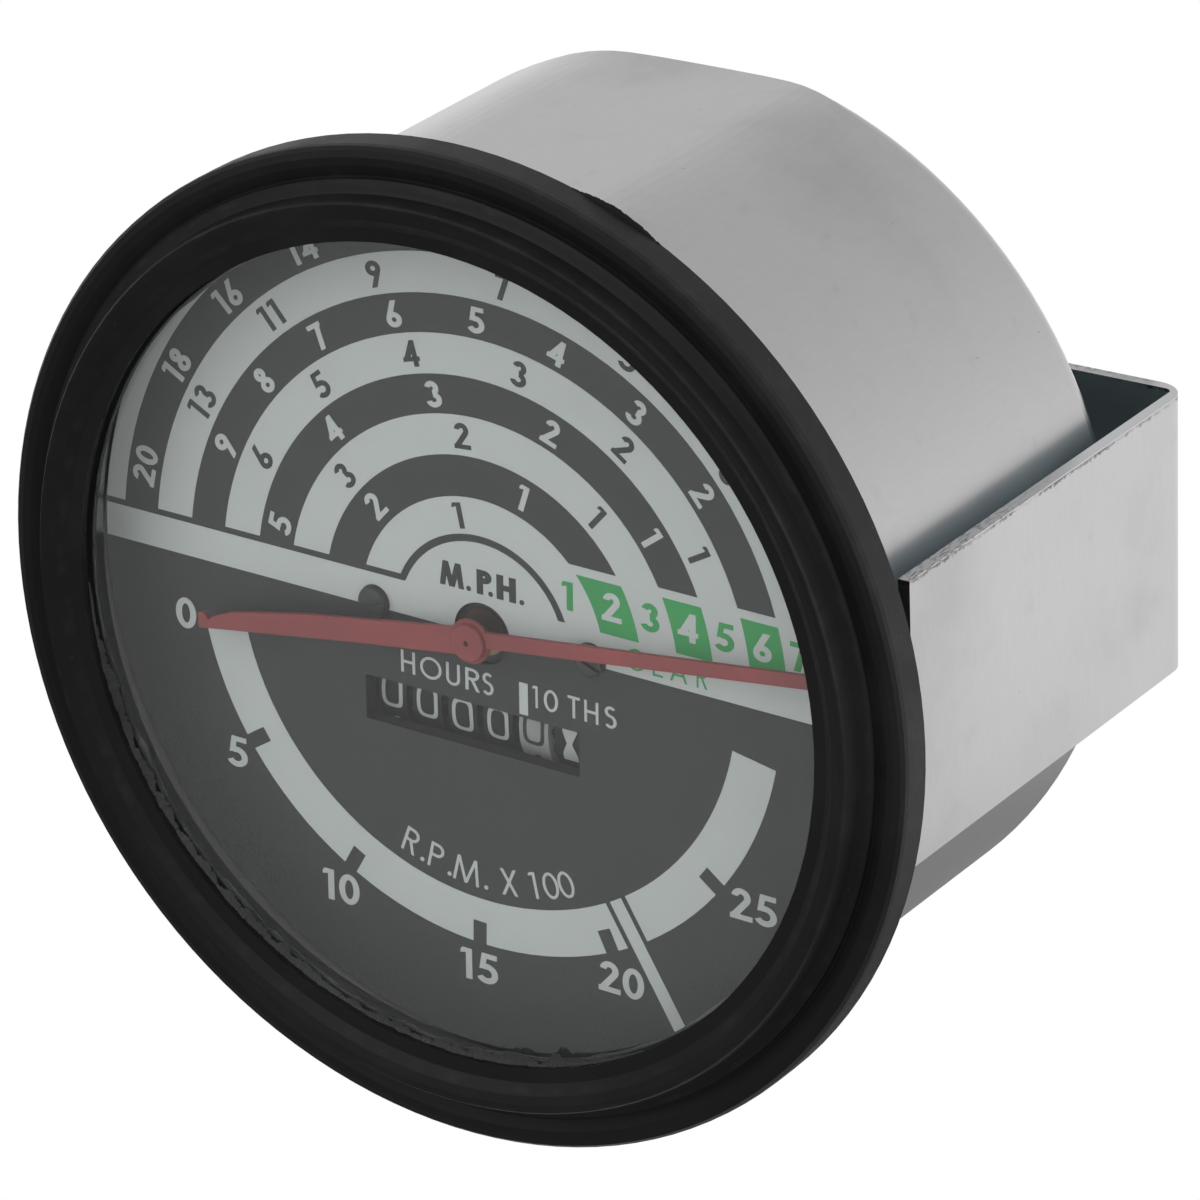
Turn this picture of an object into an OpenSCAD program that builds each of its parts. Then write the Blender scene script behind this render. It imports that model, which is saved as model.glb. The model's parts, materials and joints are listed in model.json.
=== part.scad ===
// Tachometer for a panel hole, with road speed scales and an hour counter. Millimetres.
// The origin lies on the axis of the gauge, in the front plane of the panel. X runs to
// the right and Z up as the face is read, and Y runs to the rear, behind the panel.

/* [Panel, seal and can] */
// Thickness of the panel that the seal's skirt fills
panel_t = 3.3; // [3:0.1:3.6]
// Sheet thickness of the skirt between the can and the panel
skirt_t = 0.75; // [0.6:0.05:0.9]
// Width of the seal's flange on the panel
flange_w = 5.45; // [5.2:0.05:6]
// Height of the rolled lip in front of the panel
lip_y = 7.6; // [7.4:0.1:8]
// Outer radius of the can
can_r = 55.9; // [50:0.1:61]
// Sheet thickness of the can
can_wall = 1.0; // [0.8:0.1:1.1]
// Depth of the can's rear face behind the panel plane
can_y = 56.1; // [55.9:0.1:56.6]
// Depth of the flat along the top of the can, below the round
flat_in = 2.35; // [1.6:0.05:2.4]
// Radius of the flat's soft shoulders
shoulder_r = 25; // [20:1:35]
// Turn of the can and its bracket against the dial, in degrees
can_turn = 1.7; // [0:0.1:3]

/* [Lens and dial] */
// Thickness of the lens
lens_t = 1.4; // [1.2:0.1:1.6]
// Depth of the dial's face behind the panel plane
dial_y = 4.2; // [4:0.1:4.6]
// Sheet thickness of the dial
dial_t = 0.8; // [0.6:0.1:0.8]
// Thickness of the printed colours
print_t = 0.05; // [0.04:0.01:0.1]
// Distance from the engine speed arc to the dial's edge
arc_in = 13.7; // [13.2:0.1:14.7]
// Radial width of the engine speed arc
arc_w = 5.95; // [5:0.05:7]
// Height of the two dial screws' heads
screw_head_h = 1.2; // [0.9:0.1:1.4]

/* [Pointer] */
// Radius of the pointer's hub
hub_r = 2.8; // [2.6:0.05:3.2]
// Distance from the thin arm's tip to the dial's edge
arm_in = 4.7; // [3.7:0.1:8.7]
// Distance from the broad counterweight arm's tip to the dial's edge
tail_in = 15.5; // [13:0.1:18]
// Height of the hub's face in front of the dial
hub_h = 3.4; // [3.2:0.1:3.8]

/* [Hour counter] */
// Radius of the number wheels
wheel_r = 8; // [7.9:0.05:8.1]
// Width of each number wheel's rim
wheel_w = 4.1; // [3.9:0.05:4.1]
// Distance from one number wheel to the next
wheel_pitch = 5.05; // [5.05:0.01:5.1]

/* [Drive] */
// Radius of the threaded drive spigot
spigot_r = 11.1; // [10.8:0.1:11.6]
// Length of the spigot behind the bracket
spigot_len = 10.4; // [9.4:0.2:13]
// Radius of the socket for the cable's end fitting
socket_r = 4; // [3.6:0.1:4.4]
// Radius of the drive shaft
shaft_r = 2.5; // [2.4:0.05:2.5]

/* [Bracket and lamp] */
// Gap between the can's side and the bracket's legs
leg_gap = 1.1; // [1.1:0.1:1.8]
// Sheet thickness of the bracket
strap_t = 1.5; // [1.2:0.1:1.6]
// Width of the bracket's strap
strap_w = 35.3; // [33:0.1:38]
// Height of the strap's middle above the axis
strap_z = 1.46; // [0:0.02:3]
// Gap between the can's rear face and the strap
strap_gap = 10.4; // [9.8:0.2:12]
// Radius of the bracket's bends, outside
bend_r = 4; // [3:0.5:5]
// Radius of the bracket's bends, inside
bend_in = 1; // [0.5:0.5:2]
// Distance from each mounting stud to the can's side
stud_in = 19.9; // [18.9:0.1:21.9]
// Radius of the lamp holder's body
lamp_r = 6; // [5.4:0.2:6.2]

/* [Hidden] */

$fn = 96;
// Play between a turning part and its bearing, and between parts that only lie close
run_gap = 0.05;
// Radii of the seal, from the can outward
skirt_r = can_r + 0.15 + skirt_t;
seal_r = skirt_r + flange_w;
// The lens, its gasket and the can's flange, from the front
bezel_t = 0.3;
gasket_t = 0.3;
flange_t = 0.6;
flange_y = -2.2;
lens_y = flange_y - flange_t - gasket_t - lens_t;
lens_r = can_r + 0.4;
bezel_r = can_r + 0.8;
bezel_in = can_r - 3.3;
can_in = can_r - can_wall;
// Dial, its arc and its pointer
dial_r = can_in - 0.2;
dial_hole = 3.9;
arc_r = dial_r - arc_in;
arm_reach = dial_r - arm_in;
tail_reach = dial_r - tail_in;
pointer_y = dial_y - hub_h;
dial_screw_x = 15.2;
dial_screw_z = 0.5;
// The mechanism's four plates and their pillars
plate_t = 1.2;
front_y = dial_y + dial_t;
mid_y = 24.5;
rear_y = 39;
rear_t = 1.6;
back_y = can_y - can_wall - rear_t;
plate_r = dial_r - 12.7;
pillar_x = (plate_r - 7) * cos(32);
pillar_z = (plate_r - 7) * sin(32);
pillar_r = 2.5;
screw_r = 1.5;
// Lamp, bracket and spigot
lamp_z = 14.9 - can_r;
plate_flat = lamp_z + lamp_r + 2;
leg_x = can_r + leg_gap + strap_t;
leg_front = panel_t + 0.1;
strap_y = can_y + strap_gap + strap_t;
spigot_y = strap_y + spigot_len;
stud_x = can_r - stud_in;
// Worm gearing: axial pitch of every worm, tooth counts and tooth height
worm_p = 1.6;
worm_turns = 4;
worm_e = 0.45;
gear_n = 20;
run_n = 15;
gear_amp = 0.42;
gear_w = 1.6;
mesh_gap = 0.14;
gear_r = gear_n * worm_p / (2 * PI);
run_gear_r = run_n * worm_p / (2 * PI);
worm_big = 3.0;
worm_small = 2.1;
worm_y = rear_y + 7.7;
cross_x = worm_big + gear_r + mesh_gap;
lay_x = cross_x + worm_small + gear_r + mesh_gap;
count_y = front_y + plate_t + 0.6 + wheel_r;
count_z = -12.4;
lay_z = count_z - run_gear_r - worm_small - mesh_gap;
// Carry gearing between the number wheels
side_n = 20;
carry_n = 8;
side_r = 7;
side_w = 0.4;
carry_r = side_r * carry_n / side_n;
carry_amp = 0.5;
carry_gap = 0.22;
carry_z = count_z - side_r - carry_r - carry_gap;
count_mid = -2.34;
count_r = 1.2;
pin_r = 0.8;
cheek_l = -17.75;
cheek_gap = 0.28;
cheek_r = lay_x + worm_small + worm_e + cheek_gap;
cheek_t = 1;
cheek_low = carry_z - 4.6;
cheek_high = count_z + 7;
cheek_deep = 14.4;
// Window for the number wheels
win_x0 = -16.9;
win_x1 = 13.4;
win_z0 = -15.2;
win_z1 = -9.45;
// Pointer staff
staff_r = 0.75;
post_r = 0.7;
post_z = 7.4;
// Magnet, cup and field ring
magnet_r = 12.4;
cup_in = 13.2;
cup_r = 14;
field_in = 14.8;
// Rear fittings
stud_r = 2.4;
neck_r = 9;
// Speed scale radii from the thin arc outward, on a dial of 54.7 mm radius
bands = dial_r / 54.7 * [11.52, 12.46, 17.08, 22.26, 27.26, 32.16, 37.16, 42.03, 47.03, 51.94];
bar_z0 = -0.2;
bar_z1 = 4.13;
cell_z = 10.8;

steel = [0.72, 0.70, 0.62];
brass = [0.78, 0.62, 0.32];
black = [0.07, 0.07, 0.07];
dial_grey = [0.15, 0.16, 0.15];

module along_y(y0 = 0) translate([0, y0, 0]) rotate([-90, 0, 0]) children();
module plate_y(y0, y1) translate([0, y1, 0]) rotate([90, 0, 0]) linear_extrude(y1 - y0) children();
module rod_y(r, y0, y1, fn = 48) along_y(y0) cylinder(r = r, h = y1 - y0, $fn = fn);
module rod_x(r, x0, x1, fn = 48)
    translate([x0, 0, 0]) rotate([0, 90, 0]) cylinder(r = r, h = x1 - x0, $fn = fn);
module tube_y(r0, r1, y0, y1, fn = 96) difference() {
    rod_y(r1, y0, y1, fn);
    rod_y(r0, y0 - 1, y1 + 1, fn);
}
module turned(points) along_y() rotate_extrude() polygon(points);
module ring_2d(r0, r1) difference() {
    circle(r = r1);
    circle(r = r0);
}
module at_pillars() for (x = [-1, 1], z = [-1, 1])
    translate([x * pillar_x, 0, z * pillar_z]) children();
module turn_can() rotate([0, -can_turn, 0]) children();
module at_studs() turn_can() for (x = [-1, 1]) translate([x * stud_x, 0, strap_z]) children();
// Toothed outline whose first tooth points along the first axis, or first gap if amp < 0
module wave_2d(n, r, amp, steps = 8) polygon([for (i = [0 : n * steps - 1])
    let (a = 360 * i / (n * steps)) (r + amp * cos(n * a)) * [cos(a), sin(a)]]);
// Right-handed thread whose groove faces angle face at mid length
module worm(r, face) linear_extrude(height = worm_turns * worm_p, center = true,
    twist = -360 * worm_turns, slices = 12 * worm_turns, $fn = 16)
    rotate(face) translate([-worm_e, 0]) circle(r = r, $fn = 16);

// Rubber ring that fills the gap to the panel and rolls over the bezel
module seal_ring() color(black) turned(concat(
    [[can_r + 0.15, panel_t], [skirt_r, panel_t], [skirt_r, 0]],
    [for (p = [[0, 0], [0, -3.6], [-0.1, -4.2], [-0.5, -4.65], [-1.3, -4.85], [-2.3, -4.7],
        [-3.2, -4.35], [-3.65, -4.15]]) [seal_r + p[0], p[1]]],
    [for (p = [[2.5, -4.15], [2.4, -4.6], [2, -4.9], [1.3, -5.15], [0.9, -5.35], [0.75, -6.2]])
        [can_r + p[0], p[1]]],
    [for (p = [[0.55, 0.3], [0.3, 0], [-0.5, 0.15], [-1.6, 0.5], [-2.5, 1.1], [-2.9, 1.4],
        [-4.6, 1.65]]) [can_r + p[0], p[1] - lip_y]],
    [[can_r - 4.3, lens_y], [bezel_in - run_gap * 4, lens_y],
    [bezel_in - run_gap * 4, lens_y - bezel_t - run_gap],
    [bezel_r + run_gap, lens_y - bezel_t - run_gap],
    [bezel_r + run_gap, flange_y + bezel_t + run_gap],
    [can_r + 0.15, flange_y + bezel_t + run_gap]]));

// Rolled steel ring that clamps the lens to the can's flange, under the rubber
module bezel() color(steel) turned([
    [bezel_in, lens_y - bezel_t], [bezel_r, lens_y - bezel_t], [bezel_r, flange_y + bezel_t],
    [can_r + 0.1, flange_y + bezel_t], [can_r + 0.1, flange_y], [lens_r + 0.1, flange_y],
    [lens_r + 0.1, lens_y], [bezel_in, lens_y]]);

module lens() color([0.85, 0.92, 0.9, 0.3]) rod_y(lens_r, lens_y, lens_y + lens_t, 96);

module lens_gasket() color([0.3, 0.28, 0.25])
    tube_y(lens_r - 5, lens_r, lens_y + lens_t, lens_y + lens_t + gasket_t);

module window_2d() translate([win_x0, win_z0]) square([win_x1 - win_x0, win_z1 - win_z0]);

// Dial with its window, centre hole and two screw holes
module dial_plate() color(dial_grey) plate_y(dial_y, front_y) difference() {
    circle(r = dial_r);
    circle(r = dial_hole);
    window_2d();
    for (x = [-1, 1]) translate([x * dial_screw_x, dial_screw_z]) circle(r = screw_r);
}

// Quarter of the upper dial that a speed band covers, down to the height z
module upper_2d(z, x0 = -60, x1 = 60) translate([x0, z]) square([x1 - x0, 60]);

module bands_2d() {
    intersection() {
        ring_2d(bands[0], bands[1]);
        upper_2d(bar_z1 + 0.12);
    }
    for (k = [2 : 2 : 8]) intersection() {
        ring_2d(bands[k], bands[k + 1]);
        union() {
            upper_2d(bar_z1, -60, 0);
            upper_2d(cell_z + 1.1, -0.01, 60);
        }
    }
    translate([-60, bar_z1]) square([60 - bands[0] + 0.7, 0.82]);
}

module cells_2d() for (k = [2 : 2 : 6]) intersection() {
    ring_2d(bands[k], bands[k + 1]);
    translate([0, bar_z1 + 0.12]) square([60, cell_z - bar_z1 - 0.12]);
}

// Engine speed arc with its scale marks and the limit mark
module arc_2d() {
    difference() {
        intersection() {
            ring_2d(arc_r - arc_w, arc_r);
            polygon(concat([[0, 0]], [for (i = [0 : 8]) let (a = -168 + i * 157.7 / 8)
                80 * [cos(a), sin(a)]]));
        }
        for (k = [0 : 4]) rotate(-146.25 + k * 27.3) translate([arc_r - 2.9, -0.96])
            square([4, 1.92]);
        rotate(-58.7) translate([arc_r - arc_w - 1, -1.6]) square([arc_w + 2, 3.2]);
    }
    rotate(-58.7) translate([arc_r - arc_w, -0.9]) square([dial_r - 0.4 - arc_r + arc_w, 1.8]);
}

// Printed pale colours of the dial, without its figures and words
module scale_print() color([0.66, 0.70, 0.69]) plate_y(dial_y - print_t, dial_y) {
    difference() {
        intersection() {
            circle(r = dial_r - 0.1);
            upper_2d(bar_z0);
        }
        bands_2d();
        cells_2d();
        circle(r = dial_hole);
        for (x = [-1, 1]) translate([x * dial_screw_x, dial_screw_z]) circle(r = 2.1);
    }
    arc_2d();
    translate([5.1, -9.05]) square([1.2, 4.1]);
}

// Printed green cells of the gear row
module gear_print() color([0.24, 0.56, 0.31]) plate_y(dial_y - print_t, dial_y) cells_2d();

// Two slotted screws that hold the dial on the front plate
module dial_screws() color(black) for (x = [-1, 1]) translate([x * dial_screw_x, 0, dial_screw_z])
    difference() {
        union() {
            turned([[0, dial_y], for (p = [[2, 0], [2, 0.5], [1.85, 0.75], [1.4, 0.93], [0.7, 1],
                [0, 1]]) [p[0], dial_y - screw_head_h * p[1]]]);
            rod_y(screw_r - 0.05, dial_y - 0.2, front_y + plate_t, 32);
        }
        translate([0, dial_y - screw_head_h, 0]) rotate([0, 25 * x, 0])
            cube([6, 1, 0.6], center = true);
    }

// Pointer: turned hub, thin arm that reads the speeds and broad tail arm
module pointer() color([0.55, 0.28, 0.29]) {
    difference() {
        turned([for (p = [[0, 0], [hub_r - 0.6, 0], [hub_r - 0.45, 0.15], [hub_r - 0.4, 0.6],
            [hub_r - 0.15, 0.6], [hub_r, 0.75], [hub_r, 1.1], [2 * staff_r, 1.1],
            [2 * staff_r, 2], [0, 2]]) [p[0], pointer_y + p[1]]]);
        rod_y(staff_r, pointer_y + 0.4, pointer_y + 3, 32);
        rod_y(0.35, pointer_y - 1, pointer_y + 1, 24);
    }
    plate_y(pointer_y + 0.5, pointer_y + 1.1) difference() {
        union() {
            rotate(7.4) polygon([[0, -0.54], [arm_reach, -0.41], [arm_reach, 1.27], [0, 1.4]]);
            rotate(189.6) polygon([[0, -1.75], [tail_reach - 16, -1.75],
                [tail_reach - 4.7, -1.2], [tail_reach - 1.8, -0.5], [tail_reach - 0.9, 0],
                [tail_reach - 0.4, -0.9], [tail_reach + 0.5, -0.8], [tail_reach + 0.7, 1.1],
                [17, 1.25], [0, 1.65]]);
        }
        circle(r = hub_r - 0.4);
    }
}

module pointer_staff() color(steel) {
    rod_y(staff_r, pointer_y + 0.4, mid_y + 6.3, 32);
    rod_y(2, mid_y - 4, mid_y - 2.5, 32);
}

// Aluminium cup that the magnet drags round
module drag_cup() color([0.75, 0.76, 0.78]) difference() {
    turned([[0, mid_y + 4], [2.5, mid_y + 4], [2.5, mid_y + 5.5], [cup_r, mid_y + 5.5],
        [cup_r, rear_y - 1.5], [cup_in, rear_y - 1.5], [cup_in, mid_y + 6.3],
        [0, mid_y + 6.3]]);
    rod_y(staff_r, mid_y + 3, mid_y + 7, 32);
}

function spiral(a, off) = (2.2 + 4.37 * a / 1530 + off) * [cos(a), sin(a)];

// Flat spiral spring that returns the pointer to zero
module hairspring() color([0.5, 0.55, 0.7]) plate_y(mid_y - 3.4, mid_y - 2.6)
    polygon(concat([for (a = [0 : 18 : 1530]) spiral(a, -0.12)],
        [for (a = [1530 : -18 : 0]) spiral(a, 0.12)]));

// Post that holds the spring's outer end
module spring_post() color(brass) translate([0, 0, post_z])
    rod_y(post_r, mid_y - 3.8, mid_y + plate_t, 24);

module staff_bush_front() color(black) difference() {
    union() {
        rod_y(2.9, dial_y + 0.4, front_y, 32);
        rod_y(2.6, dial_y + 0.5, front_y + 2.6, 32);
    }
    rod_y(staff_r + run_gap, 0, front_y + 4, 32);
}

module staff_bush_rear() color(brass) difference() {
    union() {
        rod_y(3.2, mid_y - 0.8, mid_y, 32);
        rod_y(2.6, mid_y - 0.5, mid_y + 2.2, 32);
    }
    rod_y(staff_r + run_gap, mid_y - 2, mid_y + 4, 32);
}

// Round magnet with a slot between its poles
module magnet() color([0.3, 0.3, 0.32]) difference() {
    rod_y(magnet_r, mid_y + 7.3, rear_y - 2);
    rod_y(shaft_r, mid_y + 6, rear_y, 48);
    for (x = [-1, 1]) translate([x * magnet_r, mid_y + 10, 0]) cube([8, 12, 2.4], center = true);
}

// Drive shaft: magnet seat, shoulder, worm and the square socket for the cable
module drive_shaft() color(steel) difference() {
    union() {
        rod_y(shaft_r, mid_y + 7.3, worm_y - worm_turns * worm_p / 2);
        rod_y(4, rear_y - 2, rear_y - 1);
        rod_y(2.2, worm_y - 4, worm_y + 4, 32);
        translate([0, worm_y, 0]) along_y() worm(worm_big, 0);
        rod_y(shaft_r, worm_y + worm_turns * worm_p / 2, spigot_y - 15.1);
    }
    translate([-1.4, spigot_y - 23, -1.4]) cube([2.8, 9, 2.8]);
}

module field_ring() color(steel) difference() {
    tube_y(field_in, field_in + 1.6, mid_y + 7, rear_y);
    translate([0, mid_y + 7, 0]) cube([50, 3, 4], center = true);
}

module shaft_bush() color(brass) difference() {
    union() {
        rod_y(5, rear_y - 0.8, rear_y);
        rod_y(4, rear_y - 0.4, rear_y + 2.4);
    }
    rod_y(shaft_r + run_gap, rear_y - 2, rear_y + 4);
}

// Front plate of the mechanism, which carries the dial and the counter
module front_plate() color(black) plate_y(front_y, front_y + plate_t) difference() {
    circle(r = dial_r - 4.7);
    circle(r = 2.6);
    window_2d();
    for (x = [-1, 1]) translate([x * dial_screw_x, dial_screw_z]) circle(r = screw_r, $fn = 32);
    translate([lay_x, lay_z]) circle(r = 0.8 + run_gap, $fn = 32);
    for (x = [-1, 1]) translate([x * 14, 30]) circle(r = 6);
}

module plate_2d() difference() {
    circle(r = plate_r);
    translate([-60, plate_flat - 30]) square([120, 30]);
}

module middle_plate() color(brass) plate_y(mid_y, mid_y + plate_t) difference() {
    plate_2d();
    circle(r = 2.6);
    translate([0, post_z]) circle(r = post_r, $fn = 24);
    translate([lay_x, lay_z]) circle(r = worm_small + 0.8);
    for (x = [-1, 1]) translate([x * 27, 4]) circle(r = 6);
}

// Rear plate with two lugs that carry the cross shaft
module rear_plate() color(brass) {
    plate_y(rear_y, rear_y + rear_t) difference() {
        plate_2d();
        circle(r = 4);
        translate([lay_x, lay_z]) circle(r = 1 + run_gap, $fn = 32);
    }
    for (z = [4.6, -25]) difference() {
        translate([cross_x - 3, rear_y + rear_t, z - 0.6]) cube([6, worm_y - rear_y + 1.4, 1.2]);
        translate([cross_x, worm_y, z - 2]) cylinder(r = 1 + run_gap, h = 4, $fn = 32);
    }
}

// Plate against the rear of the can, cut away round the studs and the cable spigot
module back_plate() color(brass) plate_y(back_y, back_y + rear_t) difference() {
    plate_2d();
    circle(r = neck_r + run_gap);
    rotate(can_turn) for (x = [-1, 1]) translate([x * stud_x, strap_z]) circle(r = 4.5);
    for (x = [-1, 1], z = [-1, 1]) translate([x * pillar_x, z * pillar_z])
        circle(r = screw_r + run_gap, $fn = 32);
}

module front_pillars() color(brass) at_pillars() rod_y(pillar_r, front_y + plate_t, mid_y, 32);

module middle_pillars() color(brass) at_pillars() rod_y(pillar_r, mid_y + plate_t, rear_y, 32);

module rear_pillars() color(brass) at_pillars() difference() {
    rod_y(pillar_r, rear_y + rear_t, back_y, 32);
    rod_y(screw_r, back_y - 6, back_y + 1, 32);
}

// Cross shaft, turned by the drive shaft's worm, with a worm of its own
module cross_shaft() color(steel) translate([cross_x, worm_y, 0]) {
    translate([0, 0, -26.6]) cylinder(r = 1, h = 32.6, $fn = 32);
    translate([0, 0, lay_z]) worm(worm_small, 0);
}

module cross_wheel() color(brass) translate([cross_x, worm_y, -gear_w / 2]) difference() {
    union() {
        linear_extrude(gear_w) wave_2d(gear_n, gear_r, gear_amp);
        translate([0, 0, -1]) cylinder(r = 2, h = gear_w + 2, $fn = 32);
    }
    translate([0, 0, -3]) cylinder(r = 1, h = 9, $fn = 32);
}

// Lay shaft from the cross shaft forward to the hour counter
module lay_shaft() color(steel) translate([lay_x, 0, lay_z]) {
    rod_y(0.8, front_y + 0.3, count_y - 4.6, 32);
    rod_y(1, count_y - 4.8, worm_y + 2.4, 32);
    translate([0, count_y, 0]) along_y() worm(worm_small, -90);
}

module lay_wheel() color(brass) translate([lay_x, worm_y - gear_w / 2, lay_z]) difference() {
    union() {
        along_y() linear_extrude(gear_w) wave_2d(gear_n, gear_r, gear_amp);
        rod_y(2, -1, gear_w + 1, 32);
    }
    rod_y(1, -3, 6, 32);
}

// Shaft of the number wheels with its two collars
module counter_shaft() color(steel) translate([0, count_y, count_z]) {
    rod_x(count_r, cheek_l - cheek_t - 0.8, cheek_r + cheek_t + 0.8, 32);
    rod_x(1.9, cheek_l, cheek_l + 0.6, 32);
    rod_x(1.9, lay_x + gear_w / 2 + 0.1, cheek_r, 32);
}

// Frame of the counter: two cheeks with feet on the front plate, joined below
module counter_frame() color(steel) {
    for (x = [cheek_l - cheek_t, cheek_r]) difference() {
        translate([x, front_y + plate_t, cheek_low])
            cube([cheek_t, cheek_deep, cheek_high - cheek_low]);
        translate([0, count_y, count_z]) rod_x(count_r, x - 1, x + 2, 32);
        translate([0, count_y, carry_z]) rod_x(pin_r, x - 1, x + 2, 32);
    }
    translate([cheek_l - 0.1, front_y + plate_t, cheek_low])
        cube([cheek_r - cheek_l + 0.2, cheek_deep, 1]);
    for (x = [cheek_l - cheek_t - 2.5, cheek_r + cheek_t - 0.1])
        translate([x, front_y + plate_t, -12]) cube([2.6, 1, 6]);
}

// Wheel beside the counter that the lay shaft's worm turns, on the run wheel's sleeve
module run_gear() color(brass) translate([0, count_y, count_z]) difference() {
    union() {
        translate([lay_x - gear_w / 2, 0, 0]) rotate([0, 90, 0]) linear_extrude(gear_w)
            wave_2d(run_n, run_gear_r, gear_amp);
        rod_x(2.2, wheel_x(5) + wheel_w / 2, lay_x, 32);
    }
    rod_x(count_r + run_gap, 0, 30, 32);
}

function wheel_x(k) = count_mid + (k - 2.5) * wheel_pitch;

// Number wheel k, counted from the left. The wheels that are carried have a toothed
// ring on the right, and those that carry on have a plain locking disc on the left.
module number_wheel(k, tint) color(tint) translate([wheel_x(k), count_y, count_z])
    difference() {
        union() {
            rod_x(wheel_r, -wheel_w / 2, wheel_w / 2, 96);
            if (k < 5) translate([wheel_w / 2, 0, 0]) rotate([0, 90, 0]) linear_extrude(side_w)
                wave_2d(side_n, side_r, carry_amp, 6);
            if (k > 0) rod_x(6.2, -wheel_w / 2 - side_w, -wheel_w / 2, 64);
        }
        rod_x(count_r + run_gap, -5, 5, 32);
    }

module pinion_shaft() color(steel) translate([0, count_y, carry_z])
    rod_x(pin_r, cheek_l - cheek_t - 0.4, cheek_r + cheek_t + 0.4, 32);

// Carry pinion in the gap to the left of number wheel k
module carry_pinion(k) color([0.8, 0.78, 0.7])
    translate([wheel_x(k) - wheel_pitch / 2 - 0.4, count_y, carry_z]) difference() {
        rotate([0, 90, 0]) linear_extrude(0.8) wave_2d(carry_n, carry_r, -carry_amp, 8);
        rod_x(pin_r + run_gap, -1, 2, 32);
    }

// What the flat takes off the top of the can: its outline has soft shoulders into the
// round, and its front end slopes up
module flat_cut(front, drop) {
    z = can_r - flat_in - shoulder_r;
    x = sqrt(pow(can_r - shoulder_r, 2) - pow(z, 2));
    turn_can() intersection() {
        plate_y(front, can_y + 9) polygon([
            for (s = [1, -1], i = [0 : 6]) let (a = atan2(z, x) * (6 - i) / 6 + 15 * i,
                b = s > 0 ? a : atan2(z, x) * i / 6 + 15 * (6 - i))
                [s * (x + (shoulder_r - drop) * cos(b)), z + (shoulder_r - drop) * sin(b)],
            [-1.25 * can_r * x / norm([x, z]), 1.25 * can_r * z / norm([x, z])],
            [1.25 * can_r * x / norm([x, z]), 1.25 * can_r * z / norm([x, z])]]);
        rotate([90, 0, 90]) linear_extrude(120, center = true) polygon([[front, 90],
            [front, can_r + 0.6 - drop], [front + 10, can_r - 10], [can_y + 9, can_r - 10],
            [can_y + 9, 90]]);
    }
}

// Plated steel can with a flat along its top and rolled rear edge
module case() color(steel) difference() {
    difference() {
        turned(concat([[0, can_y]], [for (a = [0 : 15 : 90])
            [can_r - 2.5 + 2.5 * sin(a), can_y - 2.5 + 2.5 * cos(a)]],
            [[can_r, flange_y], [lens_r, flange_y], [lens_r, flange_y - flange_t],
            [0, flange_y - flange_t]]));
        flat_cut(7.5, 0);
    }
    difference() {
        turned(concat([[0, can_y - can_wall]], [for (a = [0 : 15 : 90])
            [can_in - 1.5 + 1.5 * sin(a), can_y - can_wall - 1.5 + 1.5 * cos(a)]],
            [[can_in, -5], [0, -5]]));
        flat_cut(7.3, can_wall);
    }
    rod_y(neck_r + run_gap, can_y - 5, can_y + 5);
    at_studs() rod_y(stud_r + run_gap, can_y - 5, can_y + 5, 32);
    at_pillars() rod_y(screw_r + run_gap, can_y - 5, can_y + 5, 32);
    translate([0, 0, lamp_z]) rod_y(lamp_r + 0.4 + run_gap, can_y - 5, can_y + 5);
}

// Four screws from the rear of the can into the mechanism's pillars
module case_screws() color(steel) at_pillars() difference() {
    union() {
        turned([[0, can_y], [3.2, can_y], [3.2, can_y + 1.2], [2.2, can_y + 2.2],
            [0, can_y + 2.2]]);
        rod_y(screw_r, back_y - 5, can_y + 1, 32);
    }
    for (a = [30, 120]) translate([0, can_y + 2.2, 0]) rotate([0, a, 0])
        cube([3.6, 1.6, 0.8], center = true);
}

// Spigot for the cable's nut, with the drive shaft's rear bearing
module drive_adaptor() color(brass) difference() {
    union() {
        rod_y(neck_r, back_y, can_y + 1);
        rod_y(13, can_y, can_y + 2);
        rod_y(spigot_r, can_y + 1, strap_y - 2.1);
        rod_y(spigot_r - 0.7, strap_y - 3, strap_y + 1);
        rod_y(spigot_r, strap_y + 0.1, spigot_y);
    }
    rod_y(shaft_r + run_gap, back_y - 2, spigot_y);
    rod_y(socket_r, spigot_y - 15, spigot_y + 1);
}

// Two studs fixed in the can, for the bracket
module mounting_studs() color(steel) at_studs() {
    rod_y(4, back_y + 0.1, can_y - can_wall, 32);
    rod_y(stud_r, back_y + 0.2, strap_y + 11.4, 48);
}

module strap_2d(x, y, r) {
    translate([-x, leg_front]) square([2 * x, y - r - leg_front]);
    translate([-x + r, leg_front]) square([2 * (x - r), y - leg_front]);
    for (s = [-1, 1]) translate([s * (x - r), y - r]) circle(r = r);
}

// Bent strap that pulls the gauge against the panel
module bracket() color(steel) difference() {
    turn_can() translate([0, 0, strap_z - strap_w / 2]) linear_extrude(strap_w) difference() {
        strap_2d(leg_x, strap_y, bend_r);
        translate([0, -2]) strap_2d(leg_x - strap_t, strap_y - strap_t + 2, bend_in);
    }
    rod_y(spigot_r + 1.4, strap_y - 5, strap_y + 5);
    at_studs() rod_y(stud_r + 0.5, strap_y - 5, strap_y + 5, 32);
}

module stud_washers() color(steel) at_studs()
    tube_y(stud_r + 0.1, 5.5, strap_y, strap_y + 1.2, 48);

// Two knurled nuts
module thumb_nuts() color(brass) at_studs() difference() {
    union() {
        along_y(strap_y + 1.2) linear_extrude(5) wave_2d(28, 6.9, 0.3, 2);
        rod_y(4.6, strap_y + 6, strap_y + 8.2, 48);
    }
    rod_y(stud_r + run_gap, strap_y, strap_y + 10, 48);
}

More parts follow.
